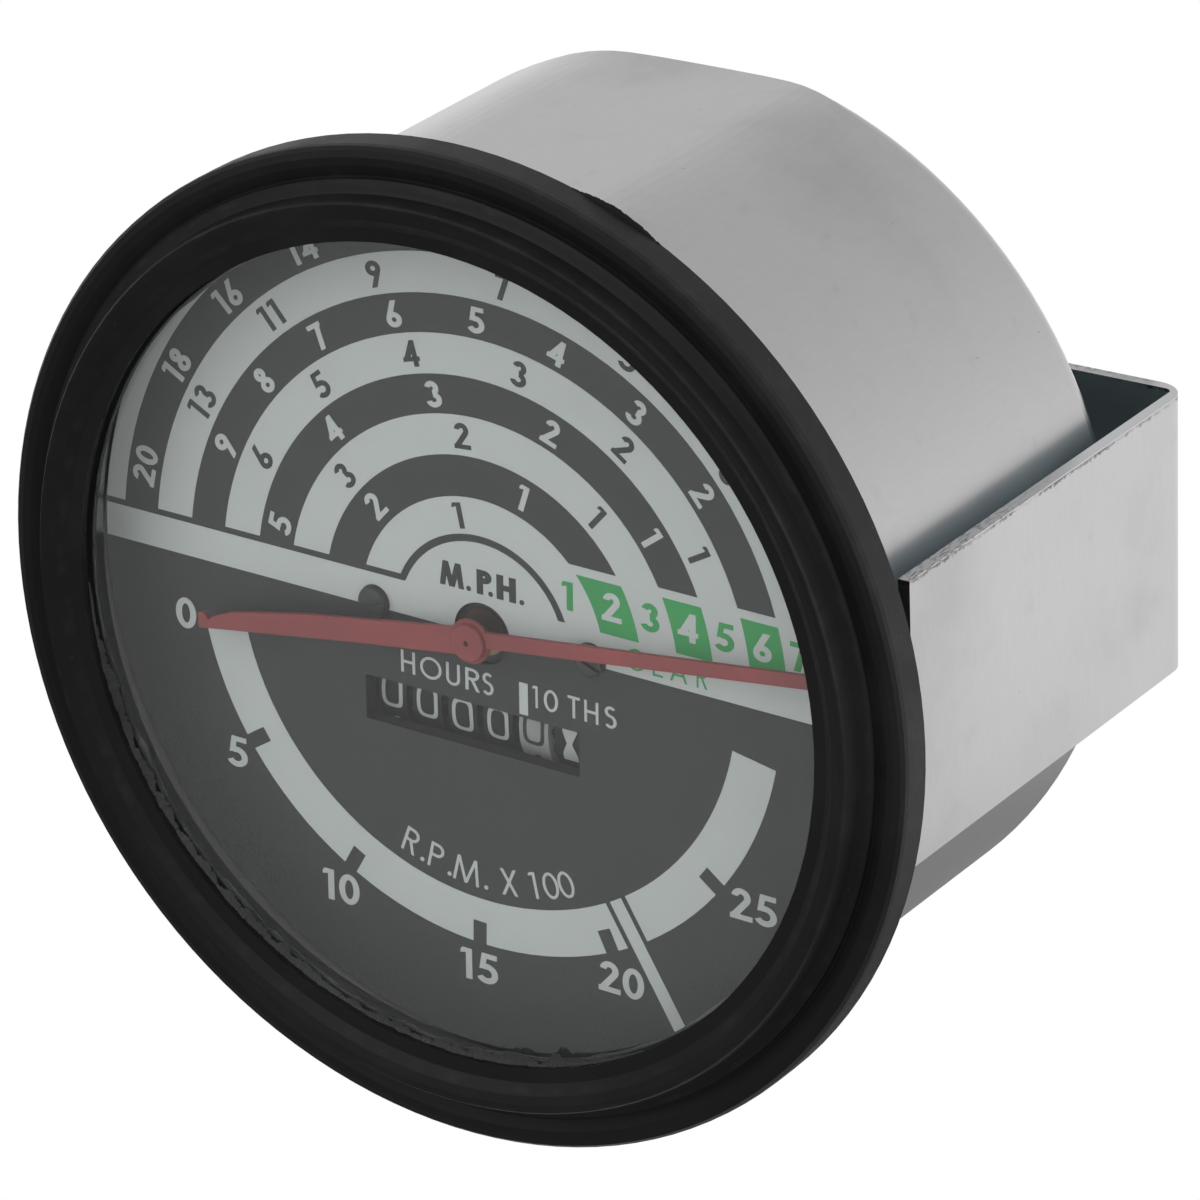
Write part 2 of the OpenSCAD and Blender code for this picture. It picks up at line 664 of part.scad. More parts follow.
// Lamp holder through the lower rear of the can
module bulb_holder() color(steel) translate([0, 0, lamp_z]) difference() {
    union() {
        rod_y(lamp_r + 0.4, can_y - 7, can_y + 0.5, 48);
        rod_y(lamp_r + 2, can_y, can_y + 1.5, 48);
        rod_y(lamp_r, can_y + 1, can_y + 12.9, 48);
    }
    rod_y(lamp_r - 1, can_y - 8, can_y + 11.5, 48);
    translate([-3.35, can_y + 9, -0.6]) cube([6.7, 6, 1.2]);
}

module bulb() color([0.9, 0.9, 0.85]) translate([0, 0, lamp_z]) turned(concat(
    [[0, can_y - 17]], [for (a = [15 : 15 : 90]) [4.4 * sin(a), can_y - 12.6 - 4.4 * cos(a)]],
    [[4.4, can_y - 6], [lamp_r - 1.1, can_y - 5.4], [lamp_r - 1.1, can_y + 4],
    [2, can_y + 6], [0, can_y + 6]]));

// Insulated terminal blade of the lamp holder
module bulb_terminal() color(brass) translate([0, 0, lamp_z]) {
    rod_y(lamp_r - 1.1, can_y + 7, can_y + 11.4, 48);
    translate([-3.15, can_y + 11, -0.4]) cube([6.3, 8, 0.8]);
}

seal_ring();
bezel();
lens();
lens_gasket();
dial_plate();
scale_print();
gear_print();
dial_screws();
pointer();
pointer_staff();
drag_cup();
hairspring();
spring_post();
staff_bush_front();
staff_bush_rear();
magnet();
drive_shaft();
field_ring();
shaft_bush();
front_plate();
middle_plate();
rear_plate();
back_plate();
front_pillars();
middle_pillars();
rear_pillars();
cross_shaft();
cross_wheel();
lay_shaft();
lay_wheel();
counter_shaft();
counter_frame();
run_gear();
number_wheel(0, black);  // thousands_wheel
number_wheel(1, black);  // hundreds_wheel
number_wheel(2, black);  // tens_wheel
number_wheel(3, black);  // hours_wheel
number_wheel(4, [0.85, 0.85, 0.82]);  // tenths_wheel
number_wheel(5, black);  // run_wheel
pinion_shaft();
carry_pinion(1);  // carry_pinion_1
carry_pinion(2);  // carry_pinion_2
carry_pinion(3);  // carry_pinion_3
carry_pinion(4);  // carry_pinion_4
carry_pinion(5);  // carry_pinion_5
case();
case_screws();
drive_adaptor();
mounting_studs();
bracket();
stud_washers();
thumb_nuts();
bulb_holder();
bulb();
bulb_terminal();
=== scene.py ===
"""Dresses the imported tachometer: finishes, dial figures, counter figures, threads and stage."""

import json
import math
import random

import bmesh
import bpy
from mathutils import Matrix, Vector
from mathutils.geometry import delaunay_2d_cdt


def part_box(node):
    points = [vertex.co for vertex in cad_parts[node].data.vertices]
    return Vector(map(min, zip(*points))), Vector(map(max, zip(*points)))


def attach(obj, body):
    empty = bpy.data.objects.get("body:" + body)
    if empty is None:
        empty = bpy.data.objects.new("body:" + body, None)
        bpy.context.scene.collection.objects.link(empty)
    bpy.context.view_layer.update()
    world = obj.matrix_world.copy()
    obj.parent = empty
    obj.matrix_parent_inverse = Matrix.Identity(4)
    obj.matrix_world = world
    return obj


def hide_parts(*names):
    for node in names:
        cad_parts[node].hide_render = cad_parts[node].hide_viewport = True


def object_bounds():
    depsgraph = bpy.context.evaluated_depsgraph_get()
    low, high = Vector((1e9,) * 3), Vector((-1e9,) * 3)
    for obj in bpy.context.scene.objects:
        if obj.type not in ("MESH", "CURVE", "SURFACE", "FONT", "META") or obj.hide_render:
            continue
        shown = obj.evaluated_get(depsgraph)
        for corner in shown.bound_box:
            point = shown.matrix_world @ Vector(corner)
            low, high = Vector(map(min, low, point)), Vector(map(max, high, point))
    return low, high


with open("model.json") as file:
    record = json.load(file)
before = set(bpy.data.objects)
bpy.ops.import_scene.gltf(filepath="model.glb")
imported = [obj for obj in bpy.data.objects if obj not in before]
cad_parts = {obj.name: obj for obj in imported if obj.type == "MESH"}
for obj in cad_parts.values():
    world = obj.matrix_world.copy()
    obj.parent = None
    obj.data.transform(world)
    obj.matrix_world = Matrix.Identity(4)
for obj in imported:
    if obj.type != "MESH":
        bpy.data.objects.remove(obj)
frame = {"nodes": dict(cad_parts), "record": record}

CAD_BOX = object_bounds()

bl_info = {
    "name": "Tachometer Dresser",
    "version": (1, 0, 0),
    "blender": (4, 5, 0),
    "location": "View3D > Sidebar > Tachometer",
    "description": "Finishes, figures and fine pieces for a panel tachometer",
    "category": "Object",
}

MM = 0.001
DIAL_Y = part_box("dial_plate")[0][1] / MM
PRINT_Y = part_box("scale_print")[0][1] / MM
SLOTS = {row["node"]: row["material_slot"] for row in frame["record"]["subparts"]}

# Settings


class StageSettings(bpy.types.PropertyGroup):
    azimuth: bpy.props.FloatProperty(
        name="Azimuth", description="Camera's turn to the right of the dial's axis",
        default=math.radians(33.54), unit="ROTATION")
    elevation: bpy.props.FloatProperty(
        name="Elevation", description="Camera's height above the dial's axis",
        default=math.radians(24.85), unit="ROTATION")
    roll: bpy.props.FloatProperty(
        name="Roll", description="Camera's roll", default=math.radians(0.68), unit="ROTATION")
    distance: bpy.props.FloatProperty(
        name="Distance", description="Camera's distance from the dial, along its view",
        default=0.78433, unit="LENGTH")
    aim: bpy.props.FloatVectorProperty(
        name="Aim", description="Offset of the dial's centre in the view, to the right and up",
        size=2, default=(-0.013737, -0.003907), unit="LENGTH")
    lens: bpy.props.FloatProperty(
        name="Lens", description="Focal length in millimetres", default=201.78)
    key: bpy.props.FloatProperty(
        name="Key lamp", description="Power of the lamp above and to the left in watts",
        default=4.3)
    fill: bpy.props.FloatProperty(
        name="Fill lamp", description="Power of the lamp to the right in watts", default=3.0)
    low_back: bpy.props.FloatProperty(
        name="Backdrop, low", description="Brightness of the backdrop near the floor",
        default=1.0)
    high_back: bpy.props.FloatProperty(
        name="Backdrop, high", description="Brightness of the backdrop overhead", default=0.56)
    front: bpy.props.FloatProperty(
        name="Room", description="Brightness of the room on the dial's side", default=0.15)
    soft: bpy.props.FloatProperty(
        name="Soft light", description="Share of that brightness that lights matt surfaces",
        default=0.9)


class FinishSettings(bpy.types.PropertyGroup):
    rubber: bpy.props.FloatVectorProperty(
        name="Rubber", description="Colour of the seal", size=3, subtype="COLOR",
        default=(0.0135, 0.0135, 0.0132))
    zinc: bpy.props.FloatVectorProperty(
        name="Zinc", description="Colour of the can's plating", size=3, subtype="COLOR",
        default=(0.61, 0.60, 0.605))
    dial: bpy.props.FloatVectorProperty(
        name="Dial", description="Colour of the dial's paint", size=3, subtype="COLOR",
        default=(0.022, 0.0235, 0.023))
    pale: bpy.props.FloatVectorProperty(
        name="Pale print", description="Colour of the pale print", size=3, subtype="COLOR",
        default=(0.475, 0.50, 0.492))
    green: bpy.props.FloatVectorProperty(
        name="Green print", description="Colour of the green print", size=3, subtype="COLOR",
        default=(0.030, 0.27, 0.075))
    red: bpy.props.FloatVectorProperty(
        name="Pointer", description="Colour of the pointer's paint", size=3, subtype="COLOR",
        default=(0.215, 0.038, 0.040))


class FigureSettings(bpy.types.PropertyGroup):
    speed_size: bpy.props.FloatProperty(
        name="Speed figures", description="Height of the road speed figures",
        default=3.25 * MM, unit="LENGTH")
    rpm_size: bpy.props.FloatProperty(
        name="Engine figures", description="Height of the engine speed figures",
        default=4.05 * MM, unit="LENGTH")
    wheel_size: bpy.props.FloatProperty(
        name="Counter figures", description="Height of the counter's figures",
        default=2.5 * MM, unit="LENGTH")
    raised: bpy.props.FloatProperty(
        name="Ink", description="Thickness of the printed figures",
        default=0.02 * MM, unit="LENGTH")


# Node tools


def put(tree, kind, values=None, **props):
    """Adds a shader node, with its properties, and links or sets its inputs."""
    node = tree.nodes.new(kind)
    for name, value in props.items():
        setattr(node, name, value)
    for name, value in (values or {}).items():
        if isinstance(value, bpy.types.NodeSocket):
            tree.links.new(value, node.inputs[name])
        else:
            node.inputs[name].default_value = value
    return node


def maths(tree, operation, *values):
    """Adds a Math node and returns its result."""
    return put(tree, "ShaderNodeMath", dict(enumerate(values)), operation=operation).outputs[0]


def blend_colors(tree, factor, first, second, mode="MIX"):
    """Mixes two colours by a mask."""
    node = put(tree, "ShaderNodeMix", {0: factor, 6: first, 7: second},
               data_type="RGBA", blend_type=mode)
    return node.outputs[2]


def remap(tree, value, low, high, to_low=0.0, to_high=1.0):
    """Maps a value's range to another one, smoothly."""
    node = put(tree, "ShaderNodeMapRange", {"Value": value, "From Min": low, "From Max": high,
               "To Min": to_low, "To Max": to_high}, interpolation_type="SMOOTHSTEP")
    return node.outputs["Result"]


def start_group(name, inputs, outputs):
    """A node group with named sockets, and its input and output nodes."""
    group = bpy.data.node_groups.new(name, "ShaderNodeTree")
    for label, kind, default in inputs:
        socket = group.interface.new_socket(name=label, in_out="INPUT", socket_type=kind)
        socket.default_value = default
    for label, kind in outputs:
        group.interface.new_socket(name=label, in_out="OUTPUT", socket_type=kind)
    return group, put(group, "NodeGroupInput"), put(group, "NodeGroupOutput")


def coordinates(tree, kind="Object"):
    """Places in the object, or coordinates of another kind."""
    return put(tree, "ShaderNodeTexCoord").outputs[kind]


def axes(tree, vector):
    """The X, Y and Z of a vector."""
    return put(tree, "ShaderNodeSeparateXYZ", {0: vector}).outputs


def noise_field(tree, where, size, detail, rough=0.5):
    """Soft noise whose features have about the given size."""
    scale = maths(tree, "DIVIDE", 1.0, size)
    return put(tree, "ShaderNodeTexNoise", {
        "Vector": where, "Scale": scale, "Detail": detail, "Roughness": rough}).outputs[0]


FLOAT, COLOR, VECTOR = "NodeSocketFloat", "NodeSocketColor", "NodeSocketVector"


def cloud_group():
    """Soft patches of a second colour, as in stained plating or faded paint."""
    group, given, result = start_group(
        "Cloudy Patches",
        [("Color", COLOR, (0.5, 0.5, 0.5, 1)), ("Patch Color", COLOR, (0.4, 0.4, 0.4, 1)),
         ("Size", FLOAT, 0.02), ("Start", FLOAT, 0.45), ("Full", FLOAT, 0.7)],
        [("Color", COLOR), ("Mask", FLOAT)])
    noise = noise_field(group, coordinates(group), given.outputs["Size"], 5.0, 0.6)
    mask = remap(group, noise, given.outputs["Start"], given.outputs["Full"])
    color = blend_colors(group, mask, given.outputs["Color"], given.outputs["Patch Color"])
    group.links.new(color, result.inputs["Color"])
    group.links.new(mask, result.inputs["Mask"])
    return group


def grain_group():
    """Fine marks stretched along one direction, as in rolled sheet or a turned part."""
    group, given, result = start_group(
        "Stretched Grain",
        [("Stretch", VECTOR, (1, 1, 1)), ("Size", FLOAT, 0.001)],
        [("Mask", FLOAT)])
    where = put(group, "ShaderNodeVectorMath", {
        0: coordinates(group), 1: given.outputs["Stretch"]}, operation="MULTIPLY").outputs[0]
    noise = noise_field(group, where, given.outputs["Size"], 3.0, 0.55)
    group.links.new(noise, result.inputs["Mask"])
    return group


def speck_group():
    """Small round specks, as of dust or pits."""
    group, given, result = start_group(
        "Specks",
        [("Spacing", FLOAT, 0.002), ("Speck", FLOAT, 0.12), ("Share", FLOAT, 0.4)],
        [("Mask", FLOAT)])
    scale = maths(group, "DIVIDE", 1.0, given.outputs["Spacing"])
    cells = put(group, "ShaderNodeTexVoronoi", {"Vector": coordinates(group), "Scale": scale})
    dots = remap(group, cells.outputs["Distance"], given.outputs["Speck"], 0.0)
    tone = put(group, "ShaderNodeSeparateColor", {0: cells.outputs["Color"]}).outputs[0]
    kept = maths(group, "LESS_THAN", tone, given.outputs["Share"])
    group.links.new(maths(group, "MULTIPLY", dots, kept), result.inputs["Mask"])
    return group


def ring_group():
    """A broken band round the gauge's axis, as of scuffs and painted highlight along a lip's
    crest.
    """
    group, given, result = start_group(
        "Band Round Axis",
        [("Radius", FLOAT, 0.05), ("Width", FLOAT, 0.001), ("Breakup", FLOAT, 0.5),
         ("Size", FLOAT, 0.004)],
        [("Mask", FLOAT)])
    place = coordinates(group)
    x, _, z = axes(group, place)
    radius = maths(group, "SQRT", maths(group, "ADD", maths(group, "POWER", x, 2.0),
                                        maths(group, "POWER", z, 2.0)))
    off = maths(group, "ABSOLUTE", maths(group, "SUBTRACT", radius, given.outputs["Radius"]))
    near = remap(group, maths(group, "DIVIDE", off, given.outputs["Width"]), 1.0, 0.0)
    start = maths(group, "MULTIPLY", given.outputs["Breakup"], 0.6)
    broken = remap(group, noise_field(group, place, given.outputs["Size"], 4.0), start, 0.75)
    group.links.new(maths(group, "MULTIPLY", near, broken), result.inputs["Mask"])
    return group


GROUPS = {}


def group_node(tree, name, values):
    """Places one of the shared node groups, built when first asked for. Returns its outputs."""
    makers = {"cloud": cloud_group, "grain": grain_group, "speck": speck_group,
              "ring": ring_group}
    if name not in GROUPS:
        GROUPS[name] = makers[name]()
    return put(tree, "ShaderNodeGroup", values, node_tree=GROUPS[name]).outputs


def start_material(name, metallic=0.0, specular=0.5, ior=1.5):
    """A material with a Principled shader, and its tree and shader."""
    material = bpy.data.materials.new(name)
    material.use_nodes = True
    tree = material.node_tree
    tree.nodes.clear()
    shader = put(tree, "ShaderNodeBsdfPrincipled", {
        "Metallic": metallic, "Specular IOR Level": specular, "IOR": ior})
    put(tree, "ShaderNodeOutputMaterial", {"Surface": shader.outputs[0]})
    return material, tree, shader


def show_mix(tree, factor, first, second):
    """Shows a mix of two shaders in place of the first."""
    mix = put(tree, "ShaderNodeMixShader", {0: factor, 1: first.outputs[0],
                                            2: second.outputs[0]})
    tree.links.new(mix.outputs[0], tree.nodes["Material Output"].inputs["Surface"])


def feed(tree, shader, color, roughness, height=None, depth=0.0, strength=0.0):
    """Links colour and roughness to a shader, and a bump where there is one."""
    tree.links.new(color, shader.inputs["Base Color"])
    tree.links.new(roughness, shader.inputs["Roughness"])
    if height is not None:
        bump = put(tree, "ShaderNodeBump", {"Height": height, "Distance": depth,
                                            "Strength": strength})
        tree.links.new(bump.outputs[0], shader.inputs["Normal"])


def shade(color, factor=1.0):
    """A colour made lighter or darker by a factor, with its alpha."""
    return (color[0] * factor, color[1] * factor, color[2] * factor, 1.0)


def clouded(tree, color, patch, size, start, full):
    """The cloud group, with patches in another shade of its colour."""
    return group_node(tree, "cloud", {"Color": shade(color), "Patch Color": shade(color, patch),
                                      "Size": size, "Start": start, "Full": full})


def patchy(tree, cloud, low, high):
    """A value that follows the cloud group's patches, such as a roughness."""
    return remap(tree, cloud["Mask"], 0.0, 1.0, low, high)


def lay_over(tree, tone, color, mask, share):
    """Lays a share of a second colour over the first where a mask is white."""
    return blend_colors(tree, maths(tree, "MULTIPLY", mask, share), tone, color)


# Materials

# Lighter bands on the seal's crests, partly scuffs and partly painted highlight: radius and half
# width of each band
CREST_SCUFFS_AND_HIGHLIGHTS = ((0.0621, 0.0004), (0.0578, 0.0006), (0.0562, 0.0006), (0.0537, 0.0009))
RUBBER_DUST = (0.09, 0.088, 0.085, 1)
PAINT_DUST = (0.35, 0.35, 0.33, 1)
# Tones of the bent strap: its inner faces, with a bluish tint and painted light, its sheared
# edges and the burrs beside them
STRAP_INSIDE_TINT_AND_LIGHT = (0.58, 0.72, 0.76, 1)
STRAP_EDGE = (0.66, 0.67, 0.68, 1)
STRAP_BURR = (0.07, 0.07, 0.068, 1)
# Painted shade on the side faces of the dial's sheet
CUT_EDGE_SHADE = (0.008, 0.008, 0.008, 1)
WHEEL_SIDE = (0.004, 0.004, 0.004, 1)
# Distance from a wheel's middle at which its rim ends and its dark side begins
RIM_END = (0.00208, 0.00216)


def rubber_material(color):
    """Moulded black rubber, dulled, with lighter bands along its crests, partly scuffs and partly
    painted highlight.
    """
    material, tree, shader = start_material("seal rubber", specular=0.34)
    cloud = clouded(tree, color, 1.7, 0.018, 0.45, 0.75)
    tone = cloud["Color"]
    # Lighter bands at the crests: scuffs and painted highlight
    for radius, width in CREST_SCUFFS_AND_HIGHLIGHTS:
        band = group_node(tree, "ring", {"Radius": radius, "Width": width, "Breakup": 0.75,
                                         "Size": 0.003})
        tone = lay_over(tree, tone, shade(color, 3.0), band["Mask"], 0.5)
    dust = group_node(tree, "speck", {"Spacing": 0.0022, "Speck": 0.10, "Share": 0.25})
    tone = lay_over(tree, tone, RUBBER_DUST, dust["Mask"], 0.5)
    grain = group_node(tree, "grain", {"Size": 0.0007})
    feed(tree, shader, tone, patchy(tree, cloud, 0.50, 0.62),
         grain["Mask"], 0.00006, 0.35)
    return material


def plated_material(name, color, stretch, edge=None):
    """Satin zinc plating: rolled grain, cloudy stains and dark specks."""
    material, tree, shader = start_material(name, metallic=1.0)
    cloud = clouded(tree, color, 0.88, 0.035, 0.42, 0.78)
    fine = group_node(tree, "cloud", {"Color": cloud["Color"],
                                      "Patch Color": shade(color, 0.8),
                                      "Size": 0.0045, "Start": 0.58, "Full": 0.95})
    grain = group_node(tree, "grain", {"Stretch": stretch, "Size": 0.0011})
    streak = remap(tree, grain["Mask"], 0.35, 0.70, 0.985, 1.01)
    tone = blend_colors(tree, 1.0, fine["Color"], streak, "MULTIPLY")
    pits = group_node(tree, "speck", {"Spacing": 0.0045, "Speck": 0.055, "Share": 0.35})
    tone = lay_over(tree, tone, shade(color, 0.25), pits["Mask"], 0.55)
    if edge is not None:
        tone = edge(tree, tone)
    feed(tree, shader, tone, patchy(tree, cloud, 0.31, 0.39))
    return material


def turned_material(name, color, rough=0.3):
    """Machined metal with fine tool marks and light tarnish."""
    material, tree, shader = start_material(name, metallic=1.0)
    cloud = clouded(tree, color, 0.7, 0.008, 0.45, 0.8)
    grain = group_node(tree, "grain", {"Stretch": (0.4, 3.0, 0.4), "Size": 0.0006})
    feed(tree, shader, cloud["Color"], patchy(tree, cloud, rough, rough + 0.15),
         grain["Mask"], 0.00002, 0.5)
    return material


def paint_material(name, color, patch, rough, dust, bump=0.0, edge=None):
    """Matt paint or ink with slight fading and a little dust."""
    material, tree, shader = start_material(name, specular=0.4)
    cloud = clouded(tree, color, patch, 0.012, 0.42, 0.8)
    specks = group_node(tree, "speck", {"Spacing": 0.0017, "Speck": 0.09, "Share": 0.18})
    tone = lay_over(tree, cloud["Color"], PAINT_DUST, specks["Mask"], dust)
    if edge is not None:
        tone = edge(tree, tone)
    lumps = None
    if bump:
        lumps = group_node(tree, "grain", {"Size": 0.0005})["Mask"]
    feed(tree, shader, tone, patchy(tree, cloud, rough, rough + 0.1), lumps, bump, 0.6)
    return material


def glass_material(name, color, rough, smear):
    """Clear glass that lets lamp light through, with faint smears."""
    material, tree, shader = start_material(name, ior=1.45)
    shader.inputs["Transmission Weight"].default_value = 1.0
    cloud = clouded(tree, color, 0.97, 0.03, 0.5, 0.8)
    feed(tree, shader, cloud["Color"], patchy(tree, cloud, rough, rough + smear))
    clear = put(tree, "ShaderNodeBsdfTransparent", {"Color": shade(color)})
    show_mix(tree, put(tree, "ShaderNodeLightPath").outputs["Is Shadow Ray"], shader, clear)
    return material


def strap_edges(tree, tone):
    """Bright sheared edges with a dark burr line beside them, and inner faces with a bluish tint
    and painted light.
    """
    place = axes(tree, coordinates(tree))
    facing = axes(tree, coordinates(tree, "Normal"))
    low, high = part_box("bracket")
    half = (high[2] - low[2]) / 2
    off = maths(tree, "ABSOLUTE", maths(tree, "SUBTRACT", place[2], (high[2] + low[2]) / 2))
    # Inner faces of the legs and the web: a bluish tint and painted light
    legs = remap(tree, maths(tree, "MULTIPLY", facing[0], maths(tree, "SIGN", place[0])),
                 -0.3, -0.9)
    web = maths(tree, "MULTIPLY", remap(tree, facing[1], -0.3, -0.9),
                remap(tree, place[1], 0.03, 0.04))
    tone = blend_colors(tree, maths(tree, "MAXIMUM", legs, web), tone, STRAP_INSIDE_TINT_AND_LIGHT)
    noise = noise_field(tree, coordinates(tree), 1 / 1400, 6.0, 0.7)
    broad = group_node(tree, "cloud", {"Size": 0.009, "Start": 0.4, "Full": 0.62})
    ragged = maths(tree, "ADD", off, remap(tree, noise, 0.3, 0.7, -0.0003, 0.0003))
    line = maths(tree, "MULTIPLY", remap(tree, ragged, half - 0.0006, half - 0.0003),
                 remap(tree, off, half - 0.0001, half - 0.0002))
    line = maths(tree, "MULTIPLY", line, patchy(tree, broad, 0.15, 0.8))
    edge = remap(tree, off, half - 0.0002, half - 0.00005)
    tone = lay_over(tree, tone, STRAP_EDGE, edge, 0.8)
    streaks = group_node(tree, "grain", {"Stretch": (2.6, 0.5, 1.0), "Size": 0.0006})
    torn = maths(tree, "MULTIPLY", remap(tree, streaks["Mask"], 0.52, 0.62), edge)
    torn = maths(tree, "MULTIPLY", torn, remap(tree, place[1], 0.045, 0.01))
    dark = maths(tree, "MAXIMUM", line, maths(tree, "MULTIPLY", torn, 0.7))
    return blend_colors(tree, dark, tone, STRAP_BURR)


def dark_cuts(tree, tone):
    """Painted shade on the side faces of the dial's sheet: its window's jambs, its holes and its
    rim.
    """
    along = maths(tree, "ABSOLUTE", axes(tree, coordinates(tree, "Normal"))[1])
    return blend_colors(tree, remap(tree, along, 0.7, 0.3), tone, CUT_EDGE_SHADE)


def dark_sides(tree, tone):
    """Dark sides of the pale wheel, past its rim."""
    along = maths(tree, "SUBTRACT", axes(tree, coordinates(tree))[0],
                  WHEEL_RIMS["tenths_wheel"] * MM)
    off = maths(tree, "ABSOLUTE", along)
    return blend_colors(tree, remap(tree, off, *RIM_END), tone, WHEEL_SIDE)


MATERIALS = {}


def make_materials(colors):
    """Builds every finish once."""
    MATERIALS.update({
        "seal_rubber": rubber_material(colors.rubber),
        "zinc_plate": plated_material("zinc plate", colors.zinc, (2.2, 0.35, 2.2)),
        "strap_plate": plated_material("strap plate", shade(colors.zinc, 0.96), (2.5, 2.5, 0.3),
                                       strap_edges),
        "bare_steel": turned_material("turned steel", (0.56, 0.56, 0.55)),
        "brass": turned_material("turned brass", (0.62, 0.43, 0.17), 0.32),
        "oiled_bronze": turned_material("oiled bronze", (0.20, 0.14, 0.08), 0.35),
        "aluminium": turned_material("spun aluminium", (0.72, 0.73, 0.74), 0.35),
        "spring_blue": turned_material("blued spring", (0.2, 0.24, 0.36)),
        "lens_glass": glass_material("lens glass", (0.965, 0.98, 0.975), 0.0, 0.0),
        "bulb_glass": glass_material("lamp glass", (0.95, 0.95, 0.93), 0.05, 0.05),
        "gasket": paint_material("aged sealant", (0.08, 0.084, 0.081), 1.4, 0.8, 0.5, 0.0001),
        "dial_black": paint_material("dial paint", colors.dial, 1.2, 0.55, 0.12, edge=dark_cuts),
        "dial_white": paint_material("pale print", colors.pale, 0.95, 0.6, 0.1),
        "dial_green": paint_material("green print", colors.green, 1.15, 0.6, 0.1),
        "ink_dark": paint_material("dark ink", colors.dial, 1.2, 0.6, 0.1),
        "screw_black": paint_material("black oxide", (0.018, 0.018, 0.019), 1.8, 0.38, 0.2),
        "pointer_red": paint_material("pointer paint", colors.red, 1.35, 0.45, 0.15),
        "wheel_black": paint_material("wheel black", (0.007, 0.007, 0.007), 1.5, 0.65, 0.1),
        "wheel_pale": paint_material("wheel pale", (0.33, 0.335, 0.325), 0.85, 0.6, 0.1,
                                     edge=dark_sides),
        "pinion_plastic": paint_material("pinion plastic", (0.55, 0.52, 0.42), 0.9, 0.4, 0.1),
        "magnet_grey": paint_material("magnet alloy", (0.09, 0.09, 0.1), 1.4, 0.5, 0.2),
    })


def dress(piece, material):
    """Gives an object one material."""
    piece.data.materials.clear()
    piece.data.materials.append(MATERIALS[material])


# Mesh tools


def new_piece(name, verts, faces, slot, body="frame", material=None):
    """A mesh object in metres that rides on a body."""
    mesh = bpy.data.meshes.new(name)
    mesh.from_pydata([tuple(c * MM for c in v) for v in verts], [], faces)
    mesh.validate()
    mesh.update()
    piece = bpy.data.objects.new(name, mesh)
    bpy.context.scene.collection.objects.link(piece)
    dress(piece, material or slot)
    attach(piece, body)
    return piece


def polar(radius, angle):
    """The point at a radius and an angle in degrees."""
    turn = math.radians(angle)
    return radius * math.cos(turn), radius * math.sin(turn)


def bar(x0, y0, x1, y1, w):
    """A straight stroke with square ends."""
    length = math.hypot(x1 - x0, y1 - y0)
    nx, ny = -(y1 - y0) / length * w / 2, (x1 - x0) / length * w / 2
    return [(x0 - nx, y0 - ny), (x1 - nx, y1 - ny), (x1 + nx, y1 + ny), (x0 + nx, y0 + ny)]


def slant(x0, y0, x1, y1, w):
    """A sloping stroke whose ends are cut level. Its centre line joins the two points."""
    half = w / 2 * math.hypot(x1 - x0, y1 - y0) / abs(y1 - y0)
    return [(x0 - half, y0), (x0 + half, y0), (x1 + half, y1), (x1 - half, y1)]


def block(x0, y0, x1, y1):
    """An upright rectangle."""
    return [(x0, y0), (x1, y0), (x1, y1), (x0, y1)]


def arc(cx, cy, rx, ry, a0, a1, w):
    """A curved stroke inside the ellipse rx, ry, as one or two closed outlines."""
    if a1 - a0 >= 360:
        half = (a0 + a1) / 2
        return arc(cx, cy, rx, ry, a0, half, w) + arc(cx, cy, rx, ry, half, a1, w)
    count = max(4, int((a1 - a0) / 11))
    turns = [math.radians(a0 + (a1 - a0) * i / count) for i in range(count + 1)]
    outer = [(cx + rx * math.cos(t), cy + ry * math.sin(t)) for t in turns]
    inner = [(cx + (rx - w) * math.cos(t), cy + (ry - w) * math.sin(t)) for t in turns]
    return [outer + inner[::-1]]


def six(w):
    """Figure six: a round bowl and a straight stem that leans to the right."""
    reach, lean = 0.29 - w / 2, math.radians(64)
    tx, ty = 0.29 - reach * math.sin(lean), 0.29 + reach * math.cos(lean)
    top = tx + (1 - ty) / math.tan(lean)
    return arc(0.29, 0.29, 0.29, 0.29, 0, 360, w) + [slant(tx, ty, top, 1, w)]


